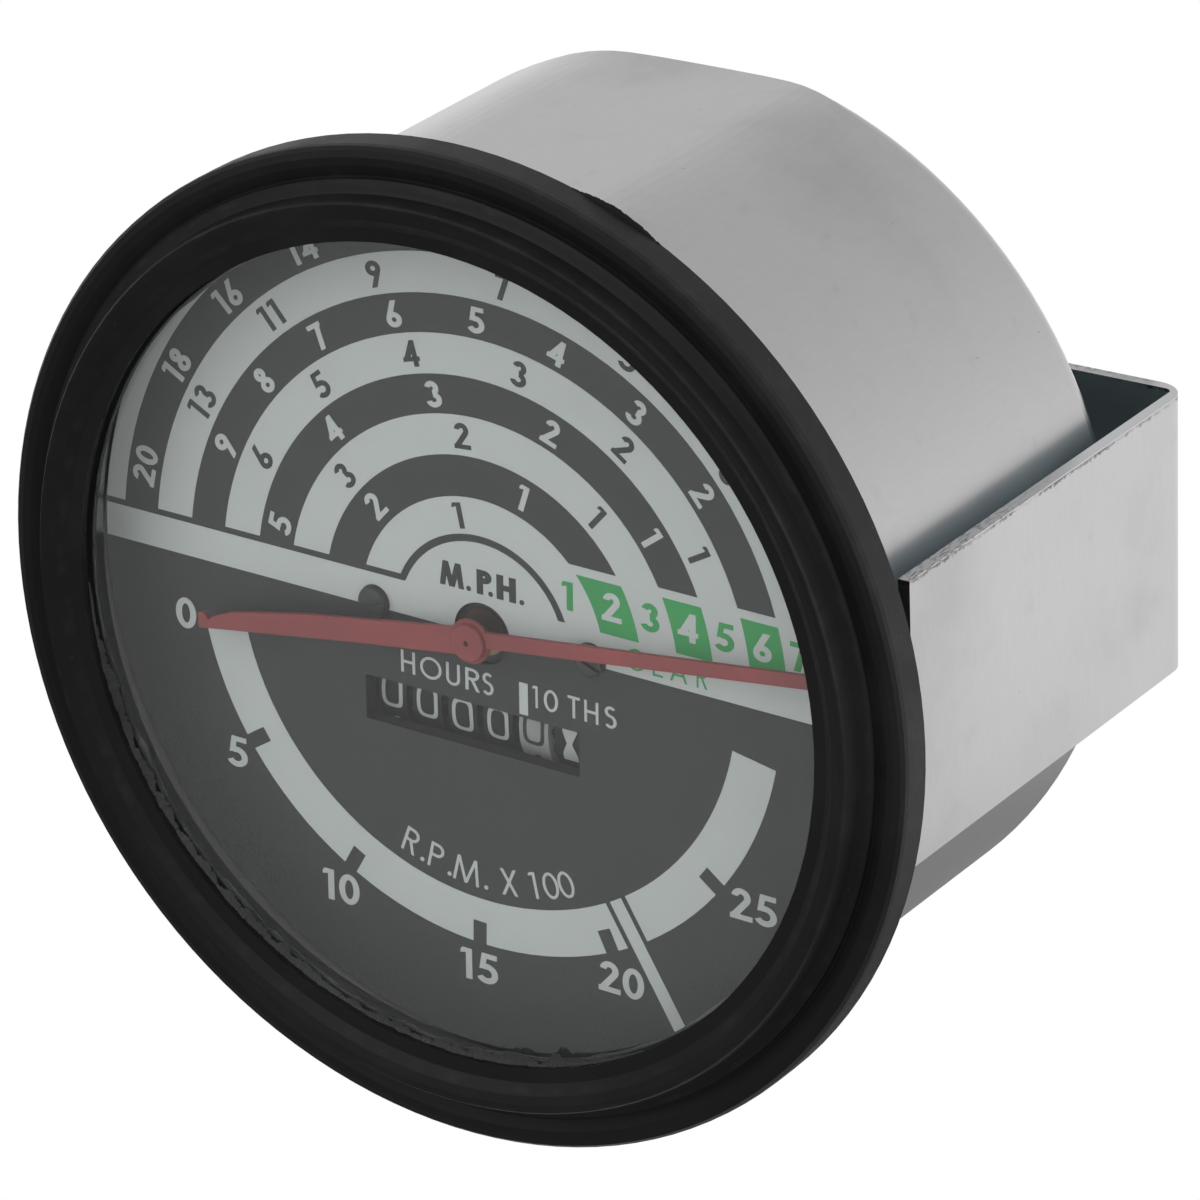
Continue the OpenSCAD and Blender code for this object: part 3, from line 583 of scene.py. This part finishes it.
def alphabet(w):
    """Width and closed outlines of each letter one unit high, with strokes w wide."""
    h, dot = w / 2, 0.06 + 0.2 * w
    ex, ey = 0.31 + (0.27 - h) * 0.79, 0.71 - (0.29 - h) * 0.61
    stem = block(0, 0, w, 1)
    letter_p = [stem, block(w - 0.01, 1 - w, 0.29, 1), block(w - 0.01, 0.46, 0.29, 0.46 + w)]
    loop = arc(0.28, 0.73, 0.27, 0.27, -90, 90, w)
    return {
        "0": (0.62, arc(0.31, 0.5, 0.31, 0.5, 0, 360, w)),
        "1": (0.16 + w, [[(0.16, 0), (0.16 + w, 0), (0.16 + w, 1), (0.06, 1), (0, 0.92),
                          (0, 0.94 - 0.7 * w), (0.16, 0.97 - 0.6 * w)]]),
        "2": (0.63, arc(0.31, 0.71, 0.27, 0.29, -38, 172, w) + [
            bar(ex, ey, h * 1.2, w * 0.55, w), block(0, 0, 0.63, w * 0.9)]),
        "3": (0.59, arc(0.28, 0.73, 0.26, 0.27, -88, 165, w)
              + arc(0.29, 0.29, 0.3, 0.29, -165, 88, w)),
        "4": (0.66, [block(0.58 - w, 0, 0.58, 1), block(0.02, 0.21, 0.66, 0.21 + w * 0.85),
                     [(0, 0.21), (w * 1.25, 0.21), (0.58, 1 - w * 0.5), (0.58, 1),
                      (0.58 - w * 0.9, 1)]]),
        "5": (0.62, arc(0.29, 0.33, 0.33, 0.33, -150, 122, w) + [
            block(0.16, 1 - w * 0.9, 0.59, 1),
            [(0.07, 0.46), (0.07 + w * 0.9, 0.5), (0.15 + w * 0.9, 1), (0.15, 1)]]),
        "6": (0.58, six(w)),
        "7": (0.57, [block(0, 1 - w * 0.9, 0.57, 1), slant(0.12 + h, 0, 0.55 - h * 1.1, 1, w)]),
        "8": (0.56, arc(0.28, 0.745, 0.235, 0.255, 0, 360, w)
              + arc(0.28, 0.285, 0.28, 0.285, 0, 360, w)),
        "9": (0.58, [[(0.58 - x, 1 - y) for x, y in outline] for outline in six(w)]),
        ".": (2 * dot, [[(dot + dot * math.cos(a * math.pi / 8),
                          dot + dot * math.sin(a * math.pi / 8)) for a in range(16)]]),
        "A": (0.74, [slant(h, 0, 0.37, 1, w), slant(0.74 - h, 0, 0.37, 1, w),
                     block(0.16, 0.27, 0.58, 0.27 + w)]),
        "E": (0.48, [stem, block(0, 0, 0.48, w), block(0, 1 - w, 0.48, 1),
                     block(0, 0.5 - h, 0.44, 0.5 + h)]),
        "G": (0.86, arc(0.46, 0.5, 0.46, 0.5, 42, 330, w) + [
            block(0.48, 0.5 - w, 0.9, 0.5), arc(0.46, 0.5, 0.46, 0.5, 328, 360, w)[0]]),
        "H": (0.66, [stem, block(0.66 - w, 0, 0.66, 1),
                     block(w - 0.01, 0.5 - h, 0.67 - w, 0.5 + h)]),
        "M": (1.05, [slant(h, 0, 0.14 + h, 1, w), slant(1.05 - h, 0, 0.91 - h, 1, w),
                     slant(0.525, 0, 0.14 + h, 1, w), slant(0.525, 0, 0.91 - h, 1, w)]),
        "O": (1.0, arc(0.5, 0.5, 0.5, 0.5, 0, 360, w)),
        "P": (0.56, letter_p + loop),
        "R": (0.56, letter_p + [slant(0.5, 0, 0.27, 0.48, w)] + loop),
        "S": (0.5, arc(0.25, 0.75, 0.23, 0.25, 35, 270, w)
              + arc(0.25, 0.27 + h / 2, 0.25, 0.27 + h / 2, -145, 90, w)),
        "T": (0.56, [block(0, 1 - w, 0.56, 1), block(0.28 - h, 0, 0.28 + h, 1)]),
        "U": (0.62, [block(0, 0.3, w, 1), block(0.62 - w, 0.3, 0.62, 1)]
              + arc(0.31, 0.31, 0.31, 0.31, -180, 0, w)),
        "X": (0.62, [slant(h, 0, 0.62 - h, 1, w), slant(0.62 - h, 0, h, 1, w)]),
    }


def word_at(place, text, size, w, angle, wide, gap=0.14):
    """Outlines of a word about a point, turned by an angle in degrees and widened."""
    outlines, x, last = [], 0.0, 0.0
    for letter in text:
        width, shapes = alphabet(w)[letter]
        outlines += [[((px + x) * size, (py - 0.5) * size) for px, py in s] for s in shapes]
        last = gap + (0.08 if letter == "1" and w > 0.15 else 0.0)
        x += width + last
    total = (x - last) * size
    c, s = polar(1.0, angle)
    return [[(place[0] + c * (px - total / 2) * wide - s * py,
              place[1] + s * (px - total / 2) * wide + c * py) for px, py in shape]
            for shape in outlines]


def lay_letters(letters, z, size, w):
    """Outlines of letters that are each fitted between two positions along X."""
    outlines = []
    for letter, x0, x1 in letters:
        width, shapes = alphabet(w)[letter]
        k = (x1 - x0) / width
        outlines += [[(x0 + px * k, z + (py - 0.5) * size) for px, py in s] for s in shapes]
    return outlines


def merged(outlines):
    """Flat faces that cover overlapping outlines once, as points and triangles."""
    points, faces = [], []
    for shape in outlines:
        faces.append(list(range(len(points), len(points) + len(shape))))
        points += [Vector(p) for p in shape]
    verts, _, filled, _, _, source = delaunay_2d_cdt(points, [], faces, 1, 1e-5, True)
    kept = [list(f) for f, own in zip(filled, source) if own]
    return [tuple(v) for v in verts], kept


def thicken(flat, tris, place, thick):
    """A closed slab from flat faces. place maps a flat point and a height."""
    count = len(flat)
    verts = [place(x, y, thick) for x, y in flat] + [place(x, y, 0.0) for x, y in flat]
    edges = dict.fromkeys(pair for tri in tris for pair in zip(tri, tri[1:] + tri[:1]))
    faces = [list(t) for t in tris] + [[i + count for i in reversed(t)] for t in tris]
    faces += [[b, a, a + count, b + count] for a, b in edges if (b, a) not in edges]
    used = sorted({i for f in faces for i in f})
    index = {old: new for new, old in enumerate(used)}
    return [verts[i] for i in used], [[index[i] for i in f] for f in faces]


def print_piece(name, outlines, slot, material, thick):
    """Print on the dial as one thin slab, sunk to the dial's paint."""
    def place(x, y, height):
        return (x, (PRINT_Y - thick) if height else DIAL_Y, y)

    verts, faces = thicken(*merged(outlines), place, thick)
    return new_piece(name, verts, faces, slot, material=material)


def section(angle, corners):
    """Corners of a section at an angle round the gauge's axis, each a radius and a place."""
    return [(radius * math.cos(angle), y, radius * math.sin(angle)) for radius, y in corners]


def strip_faces(count, corners, ring=False, flipped=False):
    """Faces of a bar of count sections, either round a full ring or with closed ends."""
    faces = []
    for i in range(count if ring else count - 1):
        j = (i + 1) % count
        for a in range(corners):
            b = (a + 1) % corners
            rest = [corners * j + a, corners * j + b, corners * i + b]
            faces.append([corners * i + a] + (rest[::-1] if flipped else rest))
    if not ring:
        last = corners * (count - 1)
        faces += [list(range(corners))[::-1], [last + a for a in range(corners)]]
    return faces


def moved(faces, start):
    """Faces whose verts are counted from another start."""
    return [[i + start for i in face] for face in faces]


# The dial's figures

# Road speed figures by band: radius, shade, then each figure with its angle
SPEED_FIGURES = (
    (49.5, "pale", (("20", 168), ("18", 150.5), ("16", 135.4), ("14", 119.4))),
    (44.5, "dark", (("13", 152.6), ("11", 130.7), ("9", 108.4), ("7", 85.2), ("5", 62),
                    ("3", 39.5))),
    (39.5, "pale", (("9", 156.7), ("8", 140.2), ("7", 124.3), ("6", 107.1), ("5", 90.0),
                    ("4", 73.8), ("3", 56.5), ("2", 39.1))),
    (34.6, "dark", (("6", 153.8), ("5", 129.9), ("4", 105.6), ("3", 80.3), ("2", 54.5),
                    ("1", 30.0))),
    (29.6, "pale", (("5", 165.9), ("4", 134.3), ("3", 102.1), ("2", 70.0), ("1", 37.2))),
    (24.7, "dark", (("3", 140.4), ("2", 95.3), ("1", 49.2))),
    (19.65, "pale", (("2", 139.0), ("1", 72.4))),
    (14.7, "dark", (("1", 102.0),)),
)
ENGINE_FIGURES = (("0", (-43.2, -7.97)), ("5", (-36.25, -24.75)), ("10", (-21.36, -39.1)),
                  ("15", (-1.35, -44.27)), ("20", (18.94, -40.4)), ("25", (37.3, -25.7)))
# Level words: shade, height of the middle, size, stroke, then each letter with its two ends
WORDS = (
    ("dark", 6.61, 3.14, 0.235, (("M", -5.83, -2.4), (".", -2.1, -1.42), ("P", -0.61, 1.55),
                                 (".", 1.0, 1.68), ("H", 2.17, 4.9), (".", 5.36, 6.04))),
    ("pale", -6.35, 2.86, 0.12, (("H", -11.67, -9.67), ("O", -8.94, -5.89), ("U", -5.22, -3.28),
                                 ("R", -2.5, -0.5), ("S", -0.11, 1.47))),
    ("pale", -6.31, 2.8, 0.12, (("1", 6.97, 7.7), ("0", 8.56, 10.53), ("T", 11.9, 13.56),
                                ("H", 14.2, 16.14), ("S", 16.97, 18.64))),
    ("green", 1.97, 2.78, 0.1, (("G", 20.08, 22.6), ("E", 23.7, 25.1), ("A", 26.06, 28.4),
                                ("R", 29.67, 31.14))),
)
# Letters of the engine speed's unit with their angles round the dial, and their radius
ENGINE_WORD = (("R", -109.9), (".", -106.2), ("P", -103.1), (".", -99.3), ("M", -95.2),
               (".", -90.2), ("X", -84.3), ("1", -78.0), ("0", -73.4), ("0", -69.3))
ENGINE_WORD_RADIUS = 31.9
GEAR_FIGURES = (("1", 12.05), ("2", 18.15), ("3", 23.4), ("4", 28.5), ("5", 33.45), ("6", 38.55),
                ("7", 43.45))
GEAR_FIGURES_Z = 7.8
# Slot and material of each shade of print
INKS = {"pale": ("dial_white", "dial_white"), "dark": ("dial_black", "ink_dark"),
        "green": ("dial_green", "dial_green")}


class TACHO_OT_dial_figures(bpy.types.Operator):
    """Lay the printed figures and words on the dial"""

    bl_idname = "tacho.dial_figures"
    bl_label = "Dial Figures"

    def execute(self, context):
        sizes = context.scene.tacho_figures
        shades = {name: [] for name in INKS}
        for radius, name, figures in SPEED_FIGURES:
            for text, angle in figures:
                shades[name] += word_at(polar(radius, angle), text, sizes.speed_size / MM, 0.195,
                                        angle - 90, 1.15, 0.09)
        for text, place in ENGINE_FIGURES:
            shades["pale"] += word_at(place, text, sizes.rpm_size / MM, 0.18, 0, 1.2, 0.065)
        for name, z, size, stroke, letters in WORDS:
            shades[name] += lay_letters(letters, z, size, stroke)
        for letter, angle in ENGINE_WORD:
            shades["pale"] += word_at(polar(ENGINE_WORD_RADIUS, angle), letter, 3.4, 0.105,
                                      angle + 90, 1.05)
        for number, (text, x) in enumerate(GEAR_FIGURES):
            shades["pale" if number % 2 else "green"] += word_at(
                (x, GEAR_FIGURES_Z), text, 3.6, 0.2, 0, 1.2)
        for name, (slot, material) in INKS.items():
            print_piece("figures_" + name, shades[name], slot, material, sizes.raised / MM)
        return {"FINISHED"}


# The counter's figures

WHEELS = ("thousands", "hundreds", "tens", "hours", "tenths", "run")
# Middle of each number wheel's rim along the counter
WHEEL_RIMS = {"%s_wheel" % name: -2.34 + (k - 2.5) * 5.05 for k, name in enumerate(WHEELS)}
# How far each wheel's figures stand below its middle, in degrees
WHEEL_DROPS = {"thousands": -0.6, "hundreds": 0.5, "tens": 3.8, "hours": 2.3, "tenths": -2.0,
               "run": 2.6}
FIGURE_THICK = 0.03


def on_wheel(node, turn):
    """Maps a flat point to the rim of a number wheel, turned down by an angle."""
    low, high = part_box(node)
    y0, z0 = [(low[i] + high[i]) / 2 / MM for i in (1, 2)]
    radius = (high[2] - low[2]) / 2 / MM

    def place(x, y, height):
        angle = y / radius - turn
        reach = radius + height
        return (WHEEL_RIMS[node] + x, y0 - reach * math.cos(angle), z0 + reach * math.sin(angle))

    return place


def box_zero(half_x, half_y, w):
    """A boxy zero with well rounded corners, about its middle."""
    def ring(a, b):
        points = []
        for i in range(48):
            turn = 2 * math.pi * i / 48
            c, s = math.cos(turn), math.sin(turn)
            points.append((a * math.copysign(abs(c) ** 0.55, c),
                           b * math.copysign(abs(s) ** 0.55, s)))
        return points

    outer, inner = ring(half_x, half_y), ring(half_x - w, half_y - w)
    return [outer[:25] + inner[24::-1], outer[24:] + outer[:1] + inner[:1] + inner[:23:-1]]


def hourglass(half_x, half_y, waist):
    """A waisted mark with sloping sides and upright ends, about its middle."""
    side = [(waist + (half_x - waist) * min(1, abs(t) / 0.62), half_y * t)
            for t in (-1, -0.81, -0.62, -0.4, -0.2, 0, 0.2, 0.4, 0.62, 0.81, 1)]
    return [side + [(-x, y) for x, y in side[::-1]]]


def cut_rows(flat, tris, step=0.45):
    """Cuts flat faces into rows, so that they can follow a wheel's rim."""
    mesh = bmesh.new()
    verts = [mesh.verts.new((x, y, 0)) for x, y in flat]
    for tri in tris:
        mesh.faces.new([verts[i] for i in tri])
    low, high = min(y for _, y in flat), max(y for _, y in flat)
    for k in range(1, int((high - low) / step) + 1):
        bmesh.ops.bisect_plane(mesh, geom=mesh.verts[:] + mesh.edges[:] + mesh.faces[:],
                               plane_co=(0, low + k * step, 0), plane_no=(0, 1, 0), dist=1e-6)
    mesh.verts.index_update()
    points = [(v.co.x, v.co.y) for v in mesh.verts]
    faces = [[v.index for v in f.verts] for f in mesh.faces]
    mesh.free()
    return points, faces


class TACHO_OT_counter_figures(bpy.types.Operator):
    """Lay the figures on the counter's wheels"""

    bl_idname = "tacho.counter_figures"
    bl_label = "Counter Figures"

    def execute(self, context):
        size = context.scene.tacho_figures.wheel_size / MM
        for name in WHEELS:
            verts, faces = [], []
            for number in range(0, 10, 2 if name == "run" else 1):
                if name == "run":
                    shape = hourglass(1.02, 2.4, 0.36)
                elif number == 0:
                    shape = box_zero(1.5, size * 0.87, 0.5)
                else:
                    shape = word_at((0, 0), str(number), size, 0.13, 0, 1.1)
                turn = math.radians(36 * number + WHEEL_DROPS[name])
                some, more = thicken(*cut_rows(*merged(shape)), on_wheel(name + "_wheel", turn),
                                     FIGURE_THICK)
                faces += moved(more, len(verts))
                verts += some
            slot, material = INKS["dark" if name == "tenths" else "pale"]
            new_piece(name + "_figures", verts, faces, slot, name, material)
        return {"FINISHED"}


# Small pieces

# Radii of the sealant behind the lens and in front of it
SEALANT_OUTER, SEALANT_INNER = 52.2, 51.35
SMEAR_OUTER, SMEAR_TOP, SMEAR_INNER = 51.8, 51.45, 51.5
# First angle of the smear and of the mould flash, and how far each goes, in degrees
SMEAR_ARC = (183, 119)
FLASH_ARC = (75.2, -11.5)
# Turned forms: places from the front end and radii, then places from the rear end and radii
SPIGOT_FRONT = ((0, 2.55), (0, 9), (2.6, 9), (2.6, 13), (4.6, 13), (4.6, 11.1), (12.4, 11.1),
                (12.4, 10.4), (14.6, 10.4))
SPIGOT_REAR = ((0, 4.3), (-0.3, 4), (-15, 4), (-15, 2.55))
STUD_FRONT = ((0, 4), (1.5, 4), (1.5, 2.4), (4, 2.4))
# Radius, depth and pitch of each thread
SPIGOT_THREAD = (11.1, 0.7, 1.5)
STUD_THREAD = (2.4, 0.45, 0.8)


class TACHO_OT_sealant(bpy.types.Operator):
    """Lay the ragged edge of sealant behind the lens and a smear in front of it"""

    bl_idname = "tacho.sealant"
    bl_label = "Sealant Edge"

    def execute(self, context):
        random.seed(7)
        self.edge()
        self.smear()
        return {"FINISHED"}

    def edge(self):
        """The bead's inner edge, most ragged low on the left."""
        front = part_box("lens_gasket")[0][1] / MM + 0.02
        count, verts = 360, []
        reach = [0.0] * count
        for _ in range(60):
            where, width, size = random.uniform(0, count), random.uniform(1, 5), random.random()
            for i in range(count):
                off = min(abs(i - where), count - abs(i - where))
                reach[i] += size * max(0.0, 1 - off / width)
        for i in range(count):
            angle = 2 * math.pi * i / count
            left = 0.5 - 0.5 * math.cos(angle - math.radians(45))
            inner = SEALANT_INNER - 0.15 - left * (0.35 + 0.5 * min(reach[i], 1.6))
            verts += section(angle, ((SEALANT_OUTER, front), (inner, front),
                                     (inner + 0.1, front + 0.35), (SEALANT_OUTER, front + 0.45)))
        new_piece("sealant_edge", verts, strip_faces(count, 4, ring=True), "gasket")

    def smear(self):
        """A ragged smear between the lens and the rubber's lip, low on the left."""
        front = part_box("lens")[0][1] / MM - 0.02
        count, verts, wide, high = 620, [], 0.0, 0.0
        for i in range(count):
            share = i / (count - 1)
            fade = min(1.0, 9 * share, 9 * (1 - share))
            wide = 0.85 * wide + 0.15 * random.uniform(-1, 1)
            high = 0.8 * high + 0.2 * random.uniform(-1, 1)
            reach = max(0.12, 0.15 + fade * (0.8 + 1.7 * wide + random.uniform(-0.12, 0.12)))
            rise = 0.1 + fade * (0.3 + 0.4 * high + random.uniform(-0.03, 0.03))
            verts += section(math.radians(SMEAR_ARC[0] + SMEAR_ARC[1] * share), (
                (SMEAR_INNER - reach, front),
                (SMEAR_INNER - reach * random.uniform(0.42, 0.5),
                 front - 0.3 * rise * random.uniform(0.9, 1.1)),
                (SMEAR_TOP, front - rise), (SMEAR_OUTER, front)))
        new_piece("sealant_fillet", verts, strip_faces(count, 4), "gasket")


class TACHO_OT_mould_flash(bpy.types.Operator):
    """Leave a torn strip of mould flash on the seal's rim"""

    bl_idname = "tacho.mould_flash"
    bl_label = "Mould Flash"

    def execute(self, context):
        random.seed(3)
        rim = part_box("seal_ring")[1][0] / MM
        count, verts, torn = 70, [], 0.0
        for i in range(count):
            share = i / (count - 1)
            torn = 0.5 * torn + 0.5 * random.uniform(-0.12, 0.12)
            reach = rim + 0.02 + max(0.02, 0.62 * math.sin(math.pi * share) ** 1.3 + torn)
            verts += section(math.radians(FLASH_ARC[0] + FLASH_ARC[1] * share), (
                (rim - 0.5, -0.35), (reach, -0.12), (reach, -0.02), (rim - 0.5, -0.02)))
        new_piece("mould_flash", verts, strip_faces(count, 4), "seal_rubber")
        return {"FINISHED"}


def threaded(radius, depth, pitch, start, end, steps):
    """Rows along a screw thread: each a place along Y and a radius for every step round."""
    rows = []
    count = int((end - start) / pitch * 6)
    for k in range(count + 1):
        y = start + (end - start) * k / count
        fade = min(1.0, (y - start) / pitch)
        chamfer = max(0.0, depth - (end - y))
        rows.append((y, [radius - max(chamfer, depth * fade * (0.5 - 0.5 * math.cos(
            2 * math.pi * (y / pitch + i / steps)))) for i in range(steps)]))
    return rows


def turned_rows(node, front, thread, rear, steps):
    """Rows of a turned form with a thread that runs to its rear end."""
    low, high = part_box(node)
    start, end = low[1] / MM, high[1] / MM
    rows = [(start + y, [radius]) for y, radius in front]
    rows += threaded(*thread, start + front[-1][0], end, steps)
    return rows + [(end + y, [radius]) for y, radius in rear]


def lathe(rows, steps, x, z):
    """A turned form about a line along Y. A row is a place along it and one or more radii."""
    verts = []
    for y, radii in rows:
        for i in range(steps):
            r, turn = radii[i % len(radii)], 2 * math.pi * i / steps
            verts.append((x + r * math.cos(turn), y, z + r * math.sin(turn)))
    return verts


class TACHO_OT_threads(bpy.types.Operator):
    """Cut the threads of the cable's spigot and of the bracket's studs"""

    bl_idname = "tacho.threads"
    bl_label = "Threads"

    def execute(self, context):
        rows = turned_rows("drive_adaptor", SPIGOT_FRONT, SPIGOT_THREAD, SPIGOT_REAR, 96)
        spigot = new_piece("threaded_spigot", lathe(rows, 96, 0, 0),
                           strip_faces(len(rows), 96, ring=True, flipped=True),
                           SLOTS["drive_adaptor"])
        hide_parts("drive_adaptor")
        rows = turned_rows("mounting_studs", STUD_FRONT, STUD_THREAD, (), 32)
        verts, faces = [], []
        for side in (-1, 1):
            own = [v.co for v in frame["nodes"]["mounting_studs"].data.vertices
                   if v.co.x * side > 0]
            x, z = [(min(c[i] for c in own) + max(c[i] for c in own)) / 2 / MM for i in (0, 2)]
            faces += moved(strip_faces(len(rows), 32, flipped=True), len(verts))
            verts += lathe(rows, 32, x, z)
        studs = new_piece("threaded_studs", verts, faces, SLOTS["mounting_studs"])
        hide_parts("mounting_studs")
        return {"FINISHED"}


# Finishes and stage

# Nodes whose finish isn't that of their slot
# The pointer's staff takes black oxide as painted shade, so that the hub's middle reads as a dark
# hole
OWN_FINISHES = {"bracket": "strap_plate", "pointer_staff": "screw_black",
                "staff_bush_front": "oiled_bronze"}
# Area lamps: size, and place, from which each faces the origin
LAMPS = {"key": (1.3, (-0.45, -0.85, 0.65)), "fill": (1.0, (0.9, -0.3, 0.35))}
DIAL_CENTRE = (0, 3.6 * MM, 0)
FLOOR_SIZE, FLOOR_FRONT, FLOOR_DROP = 3.0, 0.012, 0.0005
# The gauge's shadow on the floor, as metal sees it: its middle, and where it fades
SHADOW_MIDDLE, SHADOW_FADE = (0, 0.04, 0), (0.085, 0.17)


class TACHO_OT_finishes(bpy.types.Operator):
    """Give every CAD node its finish"""

    bl_idname = "tacho.finishes"
    bl_label = "Finishes"

    def execute(self, context):
        make_materials(context.scene.tacho_finish)
        for name, node in frame["nodes"].items():
            dress(node, OWN_FINISHES.get(name, SLOTS[name]))
        return {"FINISHED"}


class TACHO_OT_stage(bpy.types.Operator):
    """Set the floor, the lamps, the surroundings and the camera"""

    bl_idname = "tacho.stage"
    bl_label = "Stage"

    def execute(self, context):
        stage = context.scene.tacho_stage
        context.scene.view_settings.view_transform = "Standard"
        self.camera(context, stage)
        self.surroundings(context, stage)
        self.floor(context)
        self.lamps(context, stage)
        return {"FINISHED"}

    def camera(self, context, stage):
        """The photograph's view: aimed beside the dial's centre, with its roll."""
        a, e, r = stage.azimuth, stage.elevation, stage.roll
        right = Vector((math.cos(a), math.sin(a), 0))
        back = Vector((math.sin(a) * math.cos(e), -math.cos(a) * math.cos(e), math.sin(e)))
        up = back.cross(right)
        turned_right = right * math.cos(r) - up * math.sin(r)
        turned_up = right * math.sin(r) + up * math.cos(r)
        place = (Vector(DIAL_CENTRE) - turned_right * stage.aim[0] - turned_up * stage.aim[1]
                 + back * stage.distance)
        data = bpy.data.cameras.new("camera")
        data.lens, data.sensor_width = stage.lens, 36.0
        data.clip_start, data.clip_end = 0.01, 20.0
        camera = bpy.data.objects.new("camera", data)
        basis = Matrix((turned_right, turned_up, back)).transposed()
        camera.matrix_world = Matrix.Translation(place) @ basis.to_4x4()
        context.scene.collection.objects.link(camera)
        context.scene.camera = camera

    def surroundings(self, context, stage):
        """A white backdrop behind the gauge that dims overhead, and a darker room in front."""
        world = bpy.data.worlds.new("surroundings")
        world.use_nodes = True
        tree = world.node_tree
        tree.nodes.clear()
        path = put(tree, "ShaderNodeLightPath")
        plain = maths(tree, "MAXIMUM", path.outputs["Is Camera Ray"],
                      path.outputs["Is Transmission Ray"])
        _, behind, above = axes(tree, coordinates(tree, "Generated"))
        back = remap(tree, behind, -0.25, 0.45)
        height = remap(tree, above, -0.35, 0.8, stage.low_back, stage.high_back)
        level = put(tree, "ShaderNodeMix", {0: back, 2: stage.front, 3: height}).outputs[0]
        soft = maths(tree, "MULTIPLY", level, remap(tree, path.outputs["Is Glossy Ray"], 0.0, 1.0,
                                                    stage.soft, 1.0))
        light = put(tree, "ShaderNodeBackground", {
            "Color": (1, 1, 1, 1), "Strength": maths(tree, "MAXIMUM", plain, soft)})
        put(tree, "ShaderNodeOutputWorld", {"Surface": light.outputs[0]})
        context.scene.world = world

    def floor(self, context):
        """A plain pale floor just below the seal's edge, with the gauge's shadow near it."""
        material, tree, shader = start_material("floor")
        shader.inputs["Base Color"].default_value = (0.7, 0.7, 0.7, 1)
        shader.inputs["Roughness"].default_value = 0.9
        path = put(tree, "ShaderNodeLightPath")
        glow = put(tree, "ShaderNodeEmission", {"Color": (1, 1, 1, 1), "Strength": 1.0})
        away = put(tree, "ShaderNodeVectorMath", {0: coordinates(tree), 1: SHADOW_MIDDLE},
                   operation="DISTANCE").outputs["Value"]
        mirrored = maths(tree, "MAXIMUM", path.outputs["Is Glossy Ray"],
                         path.outputs["Is Transmission Ray"])
        seen = maths(tree, "MAXIMUM", path.outputs["Is Camera Ray"], maths(
            tree, "MULTIPLY", mirrored, remap(tree, away, *SHADOW_FADE)))
        show_mix(tree, seen, shader, glow)
        mesh = bpy.data.meshes.new("floor")
        low = CAD_BOX[0][2] - FLOOR_DROP
        mesh.from_pydata([(x, y, low) for x, y in block(
            -FLOOR_SIZE, FLOOR_FRONT, FLOOR_SIZE, FLOOR_SIZE)], [], [(0, 1, 2, 3)])
        floor = bpy.data.objects.new("floor", mesh)
        mesh.materials.append(material)
        context.scene.collection.objects.link(floor)

    def lamps(self, context, stage):
        """A broad lamp in front on the left and a weaker one on the right."""
        for name, (size, place) in LAMPS.items():
            data = bpy.data.lights.new(name, "AREA")
            data.energy, data.size = getattr(stage, name), size
            lamp = bpy.data.objects.new(name, data)
            lamp.location = place
            lamp.rotation_euler = (-Vector(place)).to_track_quat("-Z", "Y").to_euler()
            context.scene.collection.objects.link(lamp)


class TACHO_PT_panel(bpy.types.Panel):
    """Lists the steps that dress the tachometer"""

    bl_idname = "TACHO_PT_panel"
    bl_label = "Tachometer"
    bl_space_type = "VIEW_3D"
    bl_region_type = "UI"
    bl_category = "Tachometer"

    def draw(self, context):
        for operator in OPERATORS:
            self.layout.operator(operator.bl_idname)
        for settings in SETTINGS:
            group = getattr(context.scene, settings)
            for name in group.__annotations__:
                self.layout.prop(group, name)


SETTINGS = {"tacho_stage": StageSettings, "tacho_finish": FinishSettings,
            "tacho_figures": FigureSettings}
OPERATORS = (TACHO_OT_stage, TACHO_OT_finishes, TACHO_OT_dial_figures,
             TACHO_OT_counter_figures, TACHO_OT_sealant, TACHO_OT_mould_flash, TACHO_OT_threads)


def register():
    """Registers the settings, the operators and the panel."""
    for name, group in SETTINGS.items():
        bpy.utils.register_class(group)
        setattr(bpy.types.Scene, name, bpy.props.PointerProperty(type=group))
    for cls in OPERATORS + (TACHO_PT_panel,):
        bpy.utils.register_class(cls)


def unregister():
    """Removes what register added."""
    for cls in (TACHO_PT_panel,) + OPERATORS[::-1]:
        bpy.utils.unregister_class(cls)
    for name, group in SETTINGS.items():
        delattr(bpy.types.Scene, name)
        bpy.utils.unregister_class(group)


def main():
    """Registers the add-on's parts and runs every step in order."""
    register()
    for operator in OPERATORS:
        group, name = operator.bl_idname.split(".")
        getattr(getattr(bpy.ops, group), name)()


if __name__ == "__main__":
    main()
